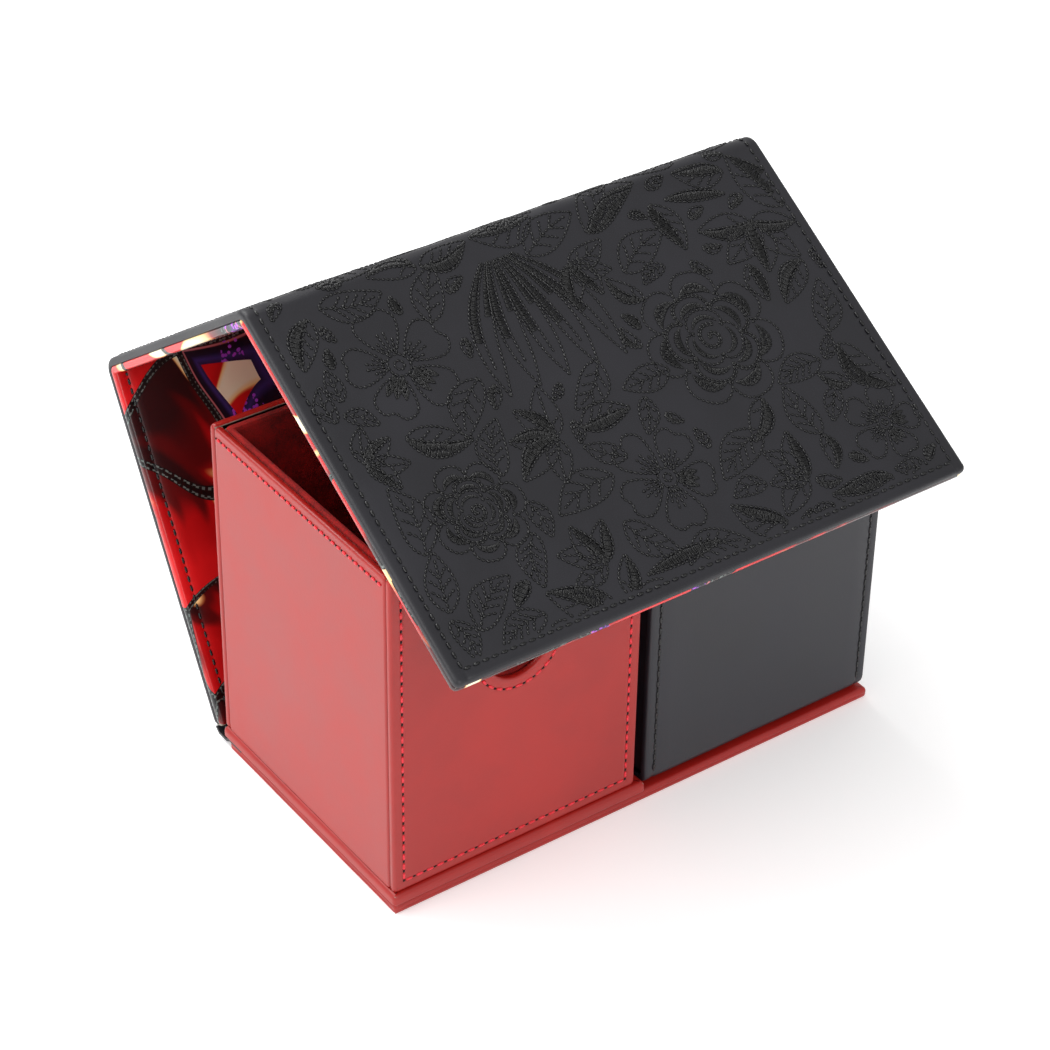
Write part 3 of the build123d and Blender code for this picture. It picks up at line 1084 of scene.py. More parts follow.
@dataclass
class FloralCover:
    """The cover's embroidery: a field of rosettes, flowers and leaves on each panel, made from threads."""

    path: CoverPath

    def field_design(self, sewing: Embroidery, length: float) -> None:
        """Covers a whole panel with the same family of motifs.

        Args:
            sewing: The embroidery that the motifs are sewn into.
            length: The panel's length, with y from 0 to this.
        """
        sewing.rose((34, length * 0.46), 0.9, 2.6)
        sewing.rose((-52, length * 0.66), 0.62, 0.4)
        sewing.flower((-50, length * 0.24), 16, 5, 0.9, filled=2)
        sewing.flower((0, length * 0.76), 14, 5, 0.4, filled=1)
        sewing.flower((66, length * 0.84), 11, 5, 0.1, filled=2)
        for k in range(5):
            sewing.plume((-14 + 2 * k, length * 0.06), (-27 + 9 * k, length * 0.42), 6.5, 0.1 - 0.05 * k)
        for x, y, reach, count, turn in (
            (-22, 0.56, 15, 5, 1.9),
            (64, 0.2, 16, 5, 0.3),
            (36, 0.9, 13, 4, 2.6),
            (8, 0.14, 14, 4, -0.3),
            (-72, 0.45, 12, 4, -1.2),
            (-28, 0.9, 13, 4, 2.9),
        ):
            sewing.spray((x, length * y), reach, count, turn, 0.75)
        sewing.lens((-20, length * 0.97), (4, length * 0.96), 1.2, -2.4)
        sewing.lens((44, length * 0.06), (62, length * 0.1), 1.4, -2.2)
        bare = [(20, length * 0.62, 6), (58, length * 0.5, 6)]
        sewing.fill_gaps((-76, -3), (76, length + 3), bare)

    def build(self, wardrobe: Wardrobe, skin: CoverHalf) -> None:
        """Sews the three panels and the two folds, and attaches each piece.

        Args:
            wardrobe: The finishes.
            skin: The half it is sewn on, whose relief it follows.
        """
        path = self.path

        def place(x: float, s: float, n: float) -> Vector:
            """Places a point over the skin's own relief."""
            return path.place(x, s, n + skin.relief(path, x, s))

        designs = []
        for span, seed, side, way in ((Span.FLAP, 7, 1, 1), (Span.TOP, 11, -1, -1), (Span.BACK, 23, 1, -1)):
            first, last = path.ends[span]
            sewing = Embroidery(dice=random.Random(seed))
            self.field_design(sewing, last - first - (4.0 if span is Span.FLAP else 0.0))
            start = first if way > 0 else last
            designs.append((sewing, start, side, way))
        kept: list[Stitch] = []
        low, high = path.ends[Span.BACK][0] + 3.5, path.ends[Span.FLAP][1] - 4.4
        for sewing, start, side, way in designs:
            for stitch in sewing.stitches:
                a, b = (Vector((side * p[0], start + way * p[1])) for p in (stitch.start, stitch.end))
                if max(abs(a[0]), abs(b[0])) > 77.0 or not (low < a[1] < high and low < b[1] < high):
                    continue
                kept.append(Stitch(a, b, stitch.width))
        thread = wardrobe.get(Finish.BLACK_THREAD)
        for span, stitches in path.share(kept).items():
            piece = thread_piece(
                f"cover_{span.value}_embroidery", stitches, place, CoverPath.thick + 0.04, 0.27, thread
            )
            path.attach(piece, span, CoverPath.thick)
            LOG.info("%s: %d stitches", piece.name, len(stitches))


# --- The cover -------------------------------------------------------------------------------------------


def stations(low: float, high: float, step: float, fine: Sequence[float] = ()) -> list[float]:
    """Lists places from low to high about a step apart, with extra ones round each fine place.

    Args:
        low: The first place.
        high: The last place.
        step: The usual distance between places.
        fine: Places that get lines on them and 0.45 to both sides.

    Returns:
        The places in order.
    """
    marks = sorted({low, high, *(f + d for f in fine for d in (-0.9, -0.45, 0.0, 0.45, 0.9))})
    out = [marks[0]]
    for mark in marks[1:]:
        count = max(1, round((mark - out[-1]) / step))
        start = out[-1]
        out += [start + (mark - start) * k / count for k in range(1, count + 1)]
    return out


def rolled_slab(
    xs: Sequence[float],
    ss: Sequence[float],
    height: float,
    roll: float,
    bond_roll: float,
    tips: Sequence[float],
    corner: float,
) -> Mesh:
    """Makes a flat board in a skin: a closed slab with rolled edges along its x ends and its open tips.

    Args:
        xs: The grid's places along x.
        ss: The grid's places along the other way.
        height: The slab's thickness, from 0 up.
        roll: The radius of the upper edges.
        bond_roll: The radius of the lower edges.
        tips: Which ends of ss are open edges; the others join on to the next piece and stay cut square.
        corner: The corners' radius in plan.

    Returns:
        The slab, still flat.
    """
    bm = bmesh.new()
    bmesh.ops.create_grid(bm, x_segments=len(xs) - 1, y_segments=len(ss) - 1, size=1.0)
    for v in bm.verts:
        column, row = round((v.co.x + 1) / 2 * (len(xs) - 1)), round((v.co.y + 1) / 2 * (len(ss) - 1))
        v.co = Vector((xs[column], ss[row], 0.0))
    grown = bmesh.ops.extrude_face_region(bm, geom=bm.faces[:])
    raised = [g for g in grown["geom"] if isinstance(g, bmesh.types.BMVert)]
    bmesh.ops.translate(bm, verts=raised, vec=(0, 0, height))
    bmesh.ops.recalc_face_normals(bm, faces=bm.faces[:])
    posts = [
        e
        for e in bm.edges
        if all(min(abs(v.co.x - x) for x in (xs[0], xs[-1])) < 1e-4 for v in e.verts)
        and all(any(abs(v.co.y - tip) < 1e-4 for tip in tips) for v in e.verts)
        and abs(e.verts[0].co.z - e.verts[1].co.z) > 0.1
    ]
    if posts:
        bmesh.ops.bevel(bm, geom=posts, offset=corner, segments=4, profile=0.5, affect="EDGES", material=-1)
    cuts = [end for end in (ss[0], ss[-1]) if end not in tips]
    for level, radius, steps in ((height, roll, 5), (0.0, bond_roll, 3)):
        rim = []
        for e in bm.edges:
            if not all(abs(v.co.z - level) < 1e-4 for v in e.verts):
                continue
            tilts = sorted(abs(f.normal.z) for f in e.link_faces)
            if any(all(abs(v.co.y - cut) < 1e-4 for v in e.verts) for cut in cuts):
                continue
            if len(tilts) == 2 and tilts[0] < 0.3 and tilts[1] > 0.7:
                rim.append(e)
        bmesh.ops.bevel(bm, geom=rim, offset=radius, segments=steps, profile=0.5, affect="EDGES", material=-1)
    return bm


@dataclass
class CoverHalf:
    """One half of the cover's thickness: board wrapped in a skin that rolls round its edges."""

    label: str
    bond: float
    face: float
    half_width: float
    roll: float
    bond_roll: float
    slot: str
    stitch_inset: float = 3.4
    puckers: float = 0.0

    def relief(self, path: CoverPath, x: float, s: float) -> float:
        """Gives how far the skin stands out or sinks in at a place, in millimetres."""
        wave = noise.noise(Vector((x * 0.045, s * 0.045, self.face))) * 0.16
        wave += noise.noise(Vector((x * 0.16, s * 0.16, 5.0))) * 0.05
        if self.puckers:
            for span in path.folds:
                low, high = path.ends[span]
                away = abs(s - (low + high) / 2)
                near = max(0.0, 1.0 - away / 13.0)
                wave += self.puckers * near * near * noise.noise(Vector((x * 0.11, s * 0.03, 9.0)))
        edge = min(
            abs(abs(x) - (self.half_width - self.stitch_inset)),
            abs(s - (path.ends[Span.FLAP][1] - self.stitch_inset)),
        )
        if abs(x) <= self.half_width - self.stitch_inset + 1 and s < path.ends[Span.FLAP][1]:
            wave -= 0.22 * math.exp(-((edge / 0.55) ** 2))
        return wave

    def build(self, path: CoverPath, material: Material) -> list[Piece]:
        """Builds the half's five stretches and attaches them.

        Args:
            path: The cover's line.
            material: The skin's finish.

        Returns:
            The pieces, from the foot to the tip.
        """
        return [self._stretch(path, span, material) for span in Span]

    def _stretch(self, path: CoverPath, span: Span, material: Material) -> Piece:
        """Builds one stretch as a closed slab with rolled edges, laid on the cover's line."""
        low, high = path.ends[span]
        fold = span in path.folds
        tip = high if span is Span.FLAP else (low if span is Span.BACK else None)
        line = self.half_width - self.stitch_inset
        xs = stations(-self.half_width, self.half_width, 1.9, (-line, line))
        if fold:
            ss = [low + (high - low) * k / 16 for k in range(17)]
        else:
            ss = stations(low, high, 1.9, (high - self.stitch_inset,) if span is Span.FLAP else ())
        height = abs(self.face - self.bond)
        bm = rolled_slab(xs, ss, height, self.roll, self.bond_roll, () if tip is None else (tip,), corner=1.5)
        outward = 1 if self.face > self.bond else -1
        if outward < 0:
            bmesh.ops.reverse_faces(bm, faces=bm.faces[:])
        uv = bm.loops.layers.uv.new("flat")
        for face in bm.faces:
            for loop in face.loops:
                x, s, h = loop.vert.co
                wrap = height - h
                x += math.copysign(wrap, x) if abs(x) > self.half_width - 2 else 0.0
                if tip is not None and abs(s - tip) < 2:
                    s += math.copysign(wrap, tip)
                loop[uv].uv = (x / 100, s / 100)
        bevel_start = height - self.roll
        for v in bm.verts:
            x, s, h = v.co
            stand = self.relief(path, x, s) * max(0.0, min(1.0, (h - bevel_start) / self.roll))
            v.co = path.place(x, s, self.bond + outward * (h + stand))
        piece = mesh_piece(f"cover_{span.value}_{self.label}", bm, material, PANEL_SHARP_DEG)
        path.attach(piece, span, self.face if self.face > 1 else CoverPath.thick)
        return piece

    def border(self, path: CoverPath, wardrobe: Wardrobe) -> None:
        """Sews the border: one row just inside the edges, over every panel and fold."""
        low, high = path.ends[Span.BACK][0] + 3.0, path.ends[Span.FLAP][1] - self.stitch_inset
        side = self.half_width - self.stitch_inset
        rows = [[(-side, high), (-side, low)], [(side, high), (side, low)], [(-side, high), (side, high)]]
        outward = 1 if self.face > self.bond else -1
        threads = (stitch for row in rows for stitch in straight_stitches(row, 2.7, 0.55, 0.85))
        for span, stitches in path.share(threads).items():
            piece = thread_piece(
                f"cover_{span.value}_{self.label}_border_thread",
                stitches,
                path.place,
                self.face - outward * 0.08,
                0.32 * outward,
                wardrobe.get(Finish.BLACK_THREAD),
                BORDER_SIDES,
            )
            path.attach(piece, span, self.face if self.face > 1 else CoverPath.thick)


def straight_stitches(corners: Sequence[Flat], pitch: float, gap: float, width: float) -> list[Stitch]:
    """Lays a lockstitch row along straight legs, with whole stitches on each leg.

    Args:
        corners: The row's corners on the flat pattern, in millimetres.
        pitch: The distance between needle holes.
        gap: How much of the pitch the hole takes.
        width: The thread's width.

    Returns:
        The stitches.
    """
    out = []
    for a, b in zip(corners, corners[1:]):
        marks = resample([Vector(a), Vector(b)], pitch)
        for p, q in zip(marks, marks[1:]):
            along = (q - p).normalized() * gap / 2
            out.append(Stitch(p + along, q - along, width))
    return out


@dataclass
class Cover:
    """The folding cover: an embroidered black half outside and a printed half inside."""

    path: CoverPath
    wardrobe: Wardrobe

    def build(self) -> None:
        """Builds both halves, their borders and the embroidery, and hides what they stand for."""
        skin = CoverHalf("skin", 2.2, 4.6, 80.5, 1.3, 0.5, "black_leatherette", puckers=0.35)
        lining = CoverHalf("print", 2.2, 0.0, 80.5, 1.0, 0.45, "printed_lining")
        skins = skin.build(self.path, self.wardrobe.get(Finish.BLACK_LEATHERETTE))
        linings = lining.build(self.path, PrintedLining("printed_lining").build())
        shown = [*skins, *linings[::2]]
        nodes = ("cover_back_wrap", "eave_fold", "cover_top_wrap", "ridge_fold", "cover_flap_wrap")
        nodes += ("cover_back_lining", "cover_top_lining", "cover_flap_lining")
        for piece, node in zip(shown, nodes):
            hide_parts(node)
            LOG.info("%s stands for %s", piece.name, node)
        for half in (skin, lining):
            half.border(self.path, self.wardrobe)
        FloralCover(self.path).build(self.wardrobe, skin)
        self._hinge_strip()
        self._foot_binding()

    def _hinge_strip(self) -> None:
        """Makes the leatherette that ties the cover's foot to the base, cut across thirteen times near its
        bend.
        """
        bm = bmesh.new()
        bm.from_mesh(bpy.data.objects["cover_hinge_strip"].data)
        bmesh.ops.remove_doubles(bm, verts=bm.verts[:], dist=0.001 * MM)
        bmesh.ops.dissolve_limit(bm, angle_limit=math.radians(1), verts=bm.verts[:], edges=bm.edges[:])
        start, end = 42.5 * MM, 48.5 * MM
        for k in range(13):
            everything = [*bm.verts, *bm.edges, *bm.faces]
            line = start + (end - start) * k / 12
            bmesh.ops.bisect_plane(
                bm, geom=everything, plane_co=(0, line, 0), plane_no=(0, 1, 0), dist=0.0001 * MM
            )
        black = self.wardrobe.get(Finish.BLACK_LEATHERETTE)
        piece = mesh_piece("cover_foot_strip", bm, black, PANEL_SHARP_DEG)
        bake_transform(piece)
        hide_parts("cover_hinge_strip")
        LOG.info("%s stands for cover_hinge_strip", piece.name)

    def _foot_binding(self) -> None:
        """Makes the narrow binding between the hinge strip and the foot of the lining."""
        low, high = Vector((-79.4, 44.15, 3.1)), Vector((79.4, 44.95, 5.25))
        bm = bmesh.new()
        bmesh.ops.create_cube(bm, size=1.0)
        bmesh.ops.transform(bm, matrix=Matrix.Diagonal((*(high - low), 1.0)), verts=bm.verts[:])
        for level in (-0.7, -0.35, 0.0, 0.35, 0.7):
            everything = [*bm.verts, *bm.edges, *bm.faces]
            bmesh.ops.bisect_plane(bm, geom=everything, plane_co=(0, 0, level), plane_no=(0, 0, 1))
        runs = (e for e in bm.edges if abs(e.verts[0].co.x - e.verts[1].co.x) > 1)
        long_edges = [e for e in runs if abs(e.verts[0].co.z) > 1]
        bmesh.ops.bevel(bm, geom=long_edges, offset=0.3, segments=3, profile=0.5, affect="EDGES", material=-1)
        for v in bm.verts:
            v.co = (v.co + (low + high) / 2) * MM
        black = self.wardrobe.get(Finish.BLACK_LEATHERETTE)
        piece = mesh_piece("cover_foot_binding", bm, black, PANEL_SHARP_DEG)
        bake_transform(piece)


# --- The compartments ------------------------------------------------------------------------------------


@dataclass
class BoxSewing:
    """Border stitching on the flat faces of the compartments."""

    wardrobe: Wardrobe

    def row(
        self,
        name: str,
        body: str,
        place: Place,
        rows: Iterable[Sequence[Flat]],
        finish: Finish,
        slot: str,
        pitch: float,
        lift: float = 0.05,
    ) -> None:
        """Sews rows of lockstitch, with a dark lens of painted shade for the needle hole at each end.

        Args:
            name: The piece's name.
            body: The body it rides on.
            place: Turns flat coordinates and height to a point.
            rows: Lists of corners.
            finish: The thread.
            slot: The thread's slot; not used.
            pitch: The distance between needle holes.
            lift: The threads' middle above the face, less the sewn line's depth, in millimetres.
        """
        stitches = [s for corners in rows for s in straight_stitches(corners, pitch, 0.8, 0.95)]
        piece = thread_piece(name, stitches, place, lift - 0.12, 0.3, self.wardrobe.get(finish), BORDER_SIDES)
        # Painted shade: a near-black lens just under each stitch's end stands for the shadow in its needle
        # hole
        holes = [Stitch(s.start.lerp(s.end, -0.38), s.start.lerp(s.end, 0.06), 0.8) for s in stitches]
        dark = self.wardrobe.get(Finish.NEEDLE_HOLE)
        hole = thread_piece(f"{name}_hole_shade", holes, place, lift - 0.17, 0.12, dark, BORDER_SIDES)
        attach(hole, body)
        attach(piece, body)
        LOG.info("%s: %d stitches", name, len(stitches))


def u_slot_outline(low: Flat, high: Flat, slot: tuple[float, float, float] | None) -> list[Vector]:
    """Outlines a panel, with a round-bottomed slot in its top edge if wanted.

    Args:
        low: The lower corner.
        high: The upper corner.
        slot: The slot's middle, the height of its round's centre, and its radius, or None.

    Returns:
        The outline, going round once.
    """
    out = [Vector(low), Vector((high[0], low[1])), Vector(high)]
    if slot:
        middle, centre, radius = slot
        out.append(Vector((middle + radius, high[1])))
        out += [
            Vector((middle + radius * math.cos(a), centre - radius * math.sin(a)))
            for a in (math.pi * k / 24 for k in range(25))
        ]
        out.append(Vector((middle - radius, high[1])))
    out.append(Vector((low[0], high[1])))
    return out


def panel_mesh(
    bm: Mesh,
    outline: Sequence[Vector],
    thick: float,
    roll: float,
    place: Place,
    groove: float = 0.0,
    back_roll: float = 0.3,
) -> None:
    """Adds a flat panel wrapped in leatherette or cloth: rolled edges, and a sewn-down line if wanted.

    Args:
        bm: The mesh to add to.
        outline: The panel's outline, seen from its front.
        thick: Its thickness, behind the front.
        roll: The radius of its front edges.
        place: Turns flat x, y and height above the front to a point.
        groove: How far inside the outline the sewn line sinks in, or 0 for none.
        back_roll: The radius of its back edges.
    """
    part = bmesh.new()
    face = part.faces.new([part.verts.new((p[0], p[1], 0.0)) for p in outline])
    face.normal_update()
    if face.normal.z < 0:
        face.normal_flip()
    if groove:
        # Rings on both sides of the sewn line, the middle one pulled down by the thread
        rings = ((groove - 0.5, 0.0), (0.3, -0.16), (0.2, -0.25), (0.2, -0.16), (0.3, 0.0), (0.6, 0.0))
        for step, depth in rings:
            bmesh.ops.inset_region(
                part, faces=[face], thickness=step, use_even_offset=True, use_boundary=True
            )
            for v in face.verts:
                v.co.z = depth
    grown = bmesh.ops.extrude_face_region(part, geom=part.faces[:])
    for g in grown["geom"]:
        if isinstance(g, bmesh.types.BMVert):
            g.co.z = -thick
    bmesh.ops.recalc_face_normals(part, faces=part.faces[:])
    posts = [
        e
        for e in part.edges
        if abs(e.verts[0].co.z - e.verts[1].co.z) > thick * 0.8 and e.calc_face_angle(0.0) > 1.0
    ]
    corner = max(roll, back_roll) + 0.45
    bmesh.ops.bevel(part, geom=posts, offset=corner, segments=3, profile=0.5, affect="EDGES", material=-1)
    for level, radius, steps in ((0.0, roll, 5), (-thick, back_roll, 2)):
        rim = [
            e
            for e in part.edges
            if all(abs(v.co.z - level) < 1e-4 for v in e.verts) and e.calc_face_angle(0.0) > 1.0
        ]
        bmesh.ops.bevel(
            part, geom=rim, offset=radius, segments=steps, profile=0.5, affect="EDGES", material=-1
        )
    for side in (1, -1):
        # A narrow flat ring keeps the soft shading at the edges
        flat = max((f for f in part.faces if f.normal.z * side > 0.999), key=lambda f: f.calc_area())
        bmesh.ops.inset_region(part, faces=[flat], thickness=0.25, use_even_offset=True)
    for v in part.verts:
        v.co = place(v.co.x, v.co.y, v.co.z)
    bmesh.ops.recalc_face_normals(part, faces=part.faces[:])
    mesh = bpy.data.meshes.new("panel")
    part.to_mesh(mesh)
    part.free()
    bm.from_mesh(mesh)
    bpy.data.meshes.remove(mesh)


def upright(axis: str, level: float, outward: float) -> Place:
    """Makes the place function of an upright face.

    Args:
        axis: "x" for a face across x, "y" for one across y, "z" for a level one.
        level: Where the face stands on that axis, in millimetres.
        outward: 1 or -1, the way it faces.

    Returns:
        A function from flat coordinates and height to metres.
    """

    def place(a: float, b: float, lift: float) -> Vector:
        """Places one flat point."""
        depth = level + outward * lift
        if axis == "x":
            return Vector((depth, a, b)) * MM
        if axis == "y":
            return Vector((a, depth, b)) * MM
        return Vector((a, b, depth)) * MM

    return place


def tray_piece(
    side: str, body: str, slot: tuple[float, float, float] | None, finish: Finish, wardrobe: Wardrobe
) -> None:
    """Builds a liner tray in microfibre: four walls with soft rolled rims, and a floor.

    Args:
        side: Which compartment it lines, "red" or "black".
        body: The body it rides on.
        slot: The thumb slot in the front wall, or None.
        finish: The microfibre.
        wardrobe: The finishes.
    """
    parts = ("lining", "front_wall", "back_wall", "side_walls", "floor")
    low, high = box_mm(*(f"{side}_tray_{part}" for part in parts))
    wall, fuzz, soft = 2.2, 0.2, 1.05
    bm = bmesh.new()
    top = high.z + 0.3
    a, b = (low.x - fuzz, low.z), (high.x + fuzz, top)
    panel_mesh(bm, u_slot_outline(a, b, slot), wall, soft, upright("y", low.y - fuzz, -1), back_roll=soft)
    panel_mesh(bm, u_slot_outline(a, b, None), wall, soft, upright("y", high.y + fuzz, 1), back_roll=soft)
    a, b = (low.y + 0.6, low.z), (high.y - 0.6, top)
    panel_mesh(bm, u_slot_outline(a, b, None), wall, soft, upright("x", low.x - fuzz, -1), back_roll=soft)
    panel_mesh(bm, u_slot_outline(a, b, None), wall, soft, upright("x", high.x + fuzz, 1), back_roll=soft)
    a, b = (low.x + 0.6, low.y + 0.6), (high.x - 0.6, high.y - 0.6)
    panel_mesh(bm, u_slot_outline(a, b, None), 2.0, 0.3, upright("z", low.z + 2.15, 1))
    piece = mesh_piece(f"{side}_tray_microfibre", bm, wardrobe.get(finish), 35.0)
    stand_in(piece, body, f"{side}_tray_lining", finish.value.name)


@dataclass
class RedCompartment:
    """The red compartment: four sewn leatherette walls and its microfibre tray."""

    wardrobe: Wardrobe
    slot: tuple[float, float, float] = (-41.1, 71.0, 10.0)
    wall: float = 2.2
    inset: float = 3.2

    def build(self) -> None:
        """Builds the walls, sews their borders and lines the tray."""
        rows = (
            ("front", "xz", "y", -1, self.slot, self.inset),
            ("back", "xz", "y", 1, None, self.inset),
            ("left", "yz", "x", -1, None, 0.0),
            ("right", "yz", "x", 1, None, 0.0),
        )
        for side, plane, axis, outward, slot, groove in rows:
            corners = box_mm(f"red_{side}_wrap")
            a, b = (tuple(getattr(corner, way) for way in plane) for corner in corners)
            place = upright(axis, getattr(corners[outward > 0], axis), outward)
            bm = bmesh.new()
            panel_mesh(bm, u_slot_outline(a, b, slot), self.wall, 0.85, place, groove, back_roll=0.75)
            red = self.wardrobe.get(Finish.RED_LEATHERETTE)
            piece = mesh_piece(f"red_{side}_panel", bm, red, PANEL_SHARP_DEG)
            stand_in(piece, "case", f"red_{side}_wrap", "red_leatherette")
        self._sew()
        slot = (self.slot[0], self.slot[1], self.slot[2] - 0.2)
        tray_piece("red", "case", slot, Finish.RED_MICROFIBRE, self.wardrobe)

    def _sew(self) -> None:
        """Sews the borders of front and back, the slot's detour, and the row under the left rim."""
        low, high = box_mm("red_front_wrap")
        back_high = box_mm("red_back_wrap")[1]
        side_low, side_high = box_mm("red_left_wrap")
        sewing = BoxSewing(self.wardrobe)
        left, right = low.x + self.inset, high.x - self.inset
        bottom, top = low.z + self.inset, high.z - self.inset
        middle, slot_z, radius = self.slot
        reach = radius + self.inset
        arc = [
            (middle + reach * math.cos(a), slot_z + reach * math.sin(a))
            for a in [math.pi * (1 + k / 13) for k in range(14)]
        ]
        rows = [
            [(left, bottom), (right, bottom), (right, top), (middle + reach, top), (middle + reach, slot_z)],
            [(left, bottom), (left, top), (middle - reach, top), (middle - reach, slot_z)],
            arc,
        ]
        place = upright("y", low.y, -1)
        sewing.row("red_front_border_thread", "case", place, rows, Finish.RED_THREAD, "red_thread", 3.2)
        rows = [[(left, bottom), (right, bottom), (right, top), (left, top), (left, bottom)]]
        place = upright("y", back_high.y, 1)
        sewing.row("red_back_border_thread", "case", place, rows, Finish.RED_THREAD, "red_thread", 3.2)
        rows = [[(side_high.y - 1.0, side_high.z - 3.0), (side_low.y + 1.0, side_high.z - 3.0)]]
        place = upright("x", side_low.x, -1)
        thread = Finish.RED_THREAD
        sewing.row("red_side_rim_thread", "case", place, rows, thread, "red_thread", 2.6, lift=0.25)


@dataclass
class BlackCompartment:
    """The black compartment: one leatherette sheet under front, bottom and back, two sides, and its tray."""

    wardrobe: Wardrobe
    bend: float = 4.0
    board: float = 2.2
    inset: float = 3.0

    def build(self) -> None:
        """Builds the wrapped sheet as one slab that turns under softly, then the sewing and the tray."""
        low, high = box_mm("black_wrap")
        upright_run, level_run = high.z - low.z - self.bend, high.y - low.y - 2 * self.bend
        arc = self.bend * math.pi / 2
        marks = [0.0, upright_run, upright_run + arc, upright_run + arc + level_run]
        marks += [marks[3] + arc, marks[3] + arc + upright_run]

        def place(x: float, s: float, lift: float) -> Vector:
            """Places a point: s runs down the front, under the bottom and up the back, lift is outwards."""
            if s <= marks[1]:
                spot = Vector((low.y - lift, high.z - s))
            elif s < marks[2]:
                turn = (s - marks[1]) / self.bend
                spot = Vector((low.y + self.bend, low.z + self.bend))
                spot += Vector((-math.cos(turn), -math.sin(turn))) * (self.bend + lift)
            elif s <= marks[3]:
                spot = Vector((low.y + self.bend + s - marks[2], low.z - lift))
            elif s < marks[4]:
                turn = (s - marks[3]) / self.bend
                spot = Vector((high.y - self.bend, low.z + self.bend))
                spot += Vector((math.sin(turn), -math.cos(turn))) * (self.bend + lift)
            else:
                spot = Vector((high.y + lift, low.z + self.bend + s - marks[4]))
            return Vector((x, spot[0], spot[1])) * MM

        lines = (low.x + self.inset, high.x - self.inset)
        xs = stations(low.x, high.x, 4.0, lines)
        ss = [marks[0]]
        for a, b, count in zip(marks, marks[1:], (12, 8, 10, 8, 12)):
            ss += [a + (b - a) * k / count for k in range(1, count + 1)]
        bm = rolled_slab(xs, ss, self.board, 1.0, 0.3, (ss[0], ss[-1]), corner=0.9)
        for v in bm.verts:
            x, s, h = v.co
            sink = 0.25 * sum(math.exp(-(((x - line) / 0.5) ** 2)) for line in lines)
            sag = 0.25 * noise.noise(Vector((x * 0.09, s * 0.09, 3.0)))
            sag *= math.exp(-(((s - marks[1]) / 9.0) ** 2))
            v.co = place(x, s, min(0.0, h - self.board - (sink - sag if h > self.board - 0.3 else 0.0)))
        bmesh.ops.recalc_face_normals(bm, faces=bm.faces[:])
        piece = mesh_piece("black_sleeve", bm, self.wardrobe.get(Finish.BLACK_WALL), PANEL_SHARP_DEG)
        stand_in(piece, "black_compartment", "black_wrap", "black_leatherette")
        end = marks[-1]
        rows = [[(x, 3.0), (x, marks[1])] for x in lines] + [[(x, marks[4]), (x, end - 3.0)] for x in lines]
        sewing = BoxSewing(self.wardrobe)
        body, thread = "black_compartment", Finish.BLACK_THREAD
        sewing.row("black_border_thread", body, place, rows, thread, "black_thread", 3.5)
        self._sides()
        tray_piece("black", "black_compartment", None, Finish.BLACK_MICROFIBRE, self.wardrobe)

    def _sides(self) -> None:
        """Builds the two side walls that stand between front and back."""
        for side, outward in (("left", -1), ("right", 1)):
            low, high = box_mm(f"black_{side}_wrap")
            place = upright("x", low.x if outward < 0 else high.x, outward)
            bm = bmesh.new()
            outline = u_slot_outline((low.y, low.z), (high.y, high.z), None)
            panel_mesh(bm, outline, self.board, 0.8, place)
            black = self.wardrobe.get(Finish.BLACK_WALL)
            piece = mesh_piece(f"black_{side}_panel", bm, black, PANEL_SHARP_DEG)
            stand_in(piece, "black_compartment", f"black_{side}_wrap", "black_leatherette")


@dataclass
class Base:
    """The base board and the foot board over its left half, each wrapped in red leatherette."""

    wardrobe: Wardrobe

    def build(self) -> None:
        """Builds both boards with soft rolled edges that are never quite straight."""
        for node, name, roll, under in (
            ("base_wrap", "base_leatherette", 1.3, 0.9),
            ("foot_wrap", "foot_leatherette", 1.5, 0.45),
        ):
            low, high = box_mm(node)
            xs = stations(low.x, high.x, 3.0)
            ss = stations(low.y, high.y, 3.0)
            bm = rolled_slab(xs, ss, high.z - low.z, roll, under, (ss[0], ss[-1]), corner=1.1)
            pinch = 1.35
            for level in (pinch + 0.25 * k for k in range(-3, 4)):
                everything = [*bm.verts, *bm.edges, *bm.faces]
                bmesh.ops.bisect_plane(
                    bm, geom=everything, plane_co=(0, 0, level), plane_no=(0, 0, 1), dist=0.02
                )
            for v in bm.verts:
                x, y, h = v.co
                gaps = (x - low.x, high.x - x, y - low.y, high.y - y)
                near, beside = sorted(gaps)[:2]
                side = ((1, 0), (-1, 0), (0, 1), (0, -1))[gaps.index(near)]
                dent = 0.14 * abs(noise.noise(Vector((x * 0.07, y * 0.07, low.z)))) * math.exp(-near / 2.0)
                if near < 1.2 and name.startswith("base"):
                    depth = 0.42 + 0.06 * noise.noise(Vector((x * 0.05, y * 0.05, 8.0 + low.z)))
                    dent = max(dent, depth * math.exp(-(((h - pinch) / 0.3) ** 2)))
                inwards = Vector((*side, 0)) * min(dent, 0.45) * min(1.0, beside / 5.0)
                if name.startswith("base") and h < 0.5 and near > 1.6:
                    h = 0.41
                v.co = (Vector((x, y, low.z + min(h, high.z - low.z))) + inwards) * MM
            piece = mesh_piece(name, bm, self.wardrobe.get(Finish.RED_LEATHERETTE), 180.0)
            stand_in(piece, "case", node, "red_leatherette")


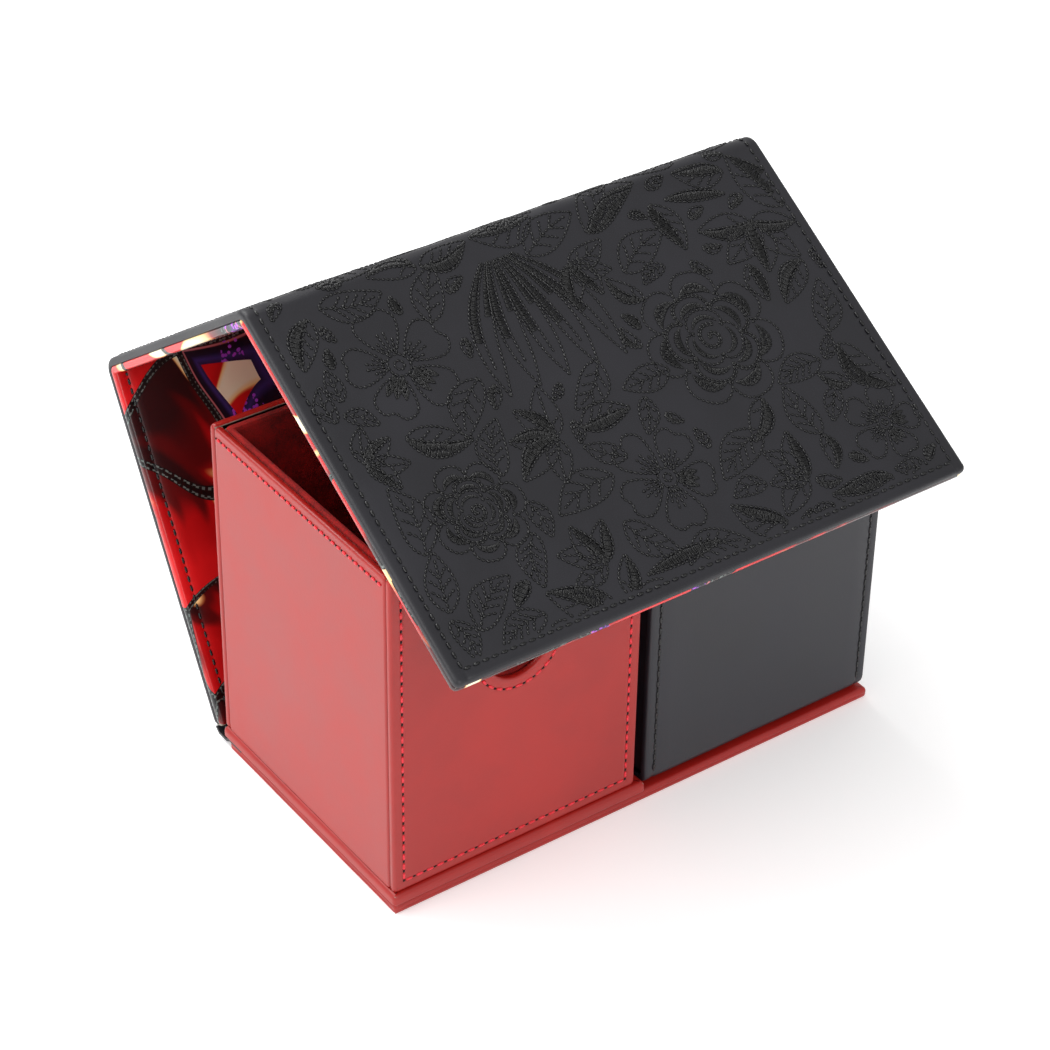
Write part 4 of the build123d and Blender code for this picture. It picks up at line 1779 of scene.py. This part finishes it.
def dress_frame(frame: dict, wardrobe: Wardrobe) -> None:
    """Gives every CAD node that may show the finish of what it is made of.

    Args:
        wardrobe: The finishes.
    """
    by_word = (
        ("magnets", Finish.MAGNET),
        ("board", Finish.GREYBOARD),
        ("tray_lining", None),
        ("tray", Finish.GREYBOARD),
    )
    for name, node in frame["nodes"].items():
        black = name.startswith(("black", "cover", "eave", "ridge"))
        finish = Finish.BLACK_LEATHERETTE if black else Finish.RED_LEATHERETTE
        for word, other in by_word:
            if word in name:
                finish = other
                break
        if finish is None:
            finish = Finish.RED_MICROFIBRE if name.startswith("red") else Finish.BLACK_MICROFIBRE
        if name.startswith("cover") and name.endswith("lining"):
            continue
        material = wardrobe.get(finish)
        for slot in node.material_slots:
            slot.material = material
    LOG.info("dressed %d nodes of the frame", len(frame["nodes"]))


# --- Stage -----------------------------------------------------------------------------------------------


@dataclass
class Studio:
    """A pale floor, soft lights and the camera."""

    eye: tuple[float, float, float] = (-0.4052, -0.5414, 0.5482)
    right: tuple[float, float, float] = (0.81371, -0.58111, 0.01354)
    up: tuple[float, float, float] = (0.32779, 0.47798, 0.81492)
    lens_mm: float = 106.3

    def build(self) -> None:
        """Makes the floor, the world, the lights and the camera."""
        self._floor()
        self._world()
        self._light("key_left", (-0.95, 0.1, 0.75), 0.8, 5.7)
        self._light("front_fill", (-0.2, -1.2, 0.8), 0.8, 6.8)
        self._light("overhead", (-0.25, 0.75, 1.0), 0.9, 12.0)
        bpy.context.scene.view_settings.view_transform = "Standard"
        data = bpy.data.cameras.new("camera")
        data.lens = self.lens_mm
        data.sensor_width = 36.0
        data.clip_start, data.clip_end = 0.01, 20.0
        camera = bpy.data.objects.new("camera", data)
        right, up = Vector(self.right).normalized(), Vector(self.up).normalized()
        back = right.cross(up)
        pose = Matrix((right, up, back)).transposed().to_4x4()
        pose.translation = self.eye
        camera.matrix_world = pose
        bpy.context.scene.collection.objects.link(camera)
        bpy.context.scene.camera = camera

    def _floor(self) -> None:
        """Makes a wide plain floor just under the object."""
        bm = bmesh.new()
        bmesh.ops.create_grid(bm, x_segments=1, y_segments=1, size=6.0)
        material, _, shader = new_material("pale_floor")
        shader.inputs["Base Color"].default_value = linear("FFFFFF")
        shader.inputs["Roughness"].default_value = 0.8
        shader.inputs["Emission Color"].default_value = linear("FFFFFF")
        shader.inputs["Emission Strength"].default_value = 0.19
        floor = mesh_piece("floor", bm, material)

    def _world(self) -> None:
        """Fills the room with even white light."""
        world = bpy.data.worlds.new("studio")
        world.use_nodes = True
        shade = world.node_tree.nodes["Background"]
        shade.inputs["Color"].default_value = (1.0, 1.0, 1.0, 1.0)
        shade.inputs["Strength"].default_value = 0.62
        bpy.context.scene.world = world

    def _light(self, name: str, place: tuple[float, float, float], size: float, power: float) -> None:
        """Hangs one square soft light that faces the middle of the object."""
        data = bpy.data.lights.new(name, "AREA")
        data.shape = "SQUARE"
        data.size = size
        data.energy = power
        light = bpy.data.objects.new(name, data)
        aim = Vector((0.0, 0.0, 0.07)) - Vector(place)
        pose = aim.to_track_quat("-Z", "Y").to_matrix().to_4x4()
        pose.translation = place
        light.matrix_world = pose
        bpy.context.scene.collection.objects.link(light)


def main() -> None:
    """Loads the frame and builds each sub-assembly round it."""
    logging.basicConfig(level=logging.INFO, format="%(name)s: %(message)s")
    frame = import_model()
    wardrobe = Wardrobe()
    dress_frame(frame, wardrobe)
    path = CoverPath(frame)
    Cover(path, wardrobe).build()
    Base(wardrobe).build()
    RedCompartment(wardrobe).build()
    BlackCompartment(wardrobe).build()
    Studio().build()


if __name__ == "__main__":
    main()
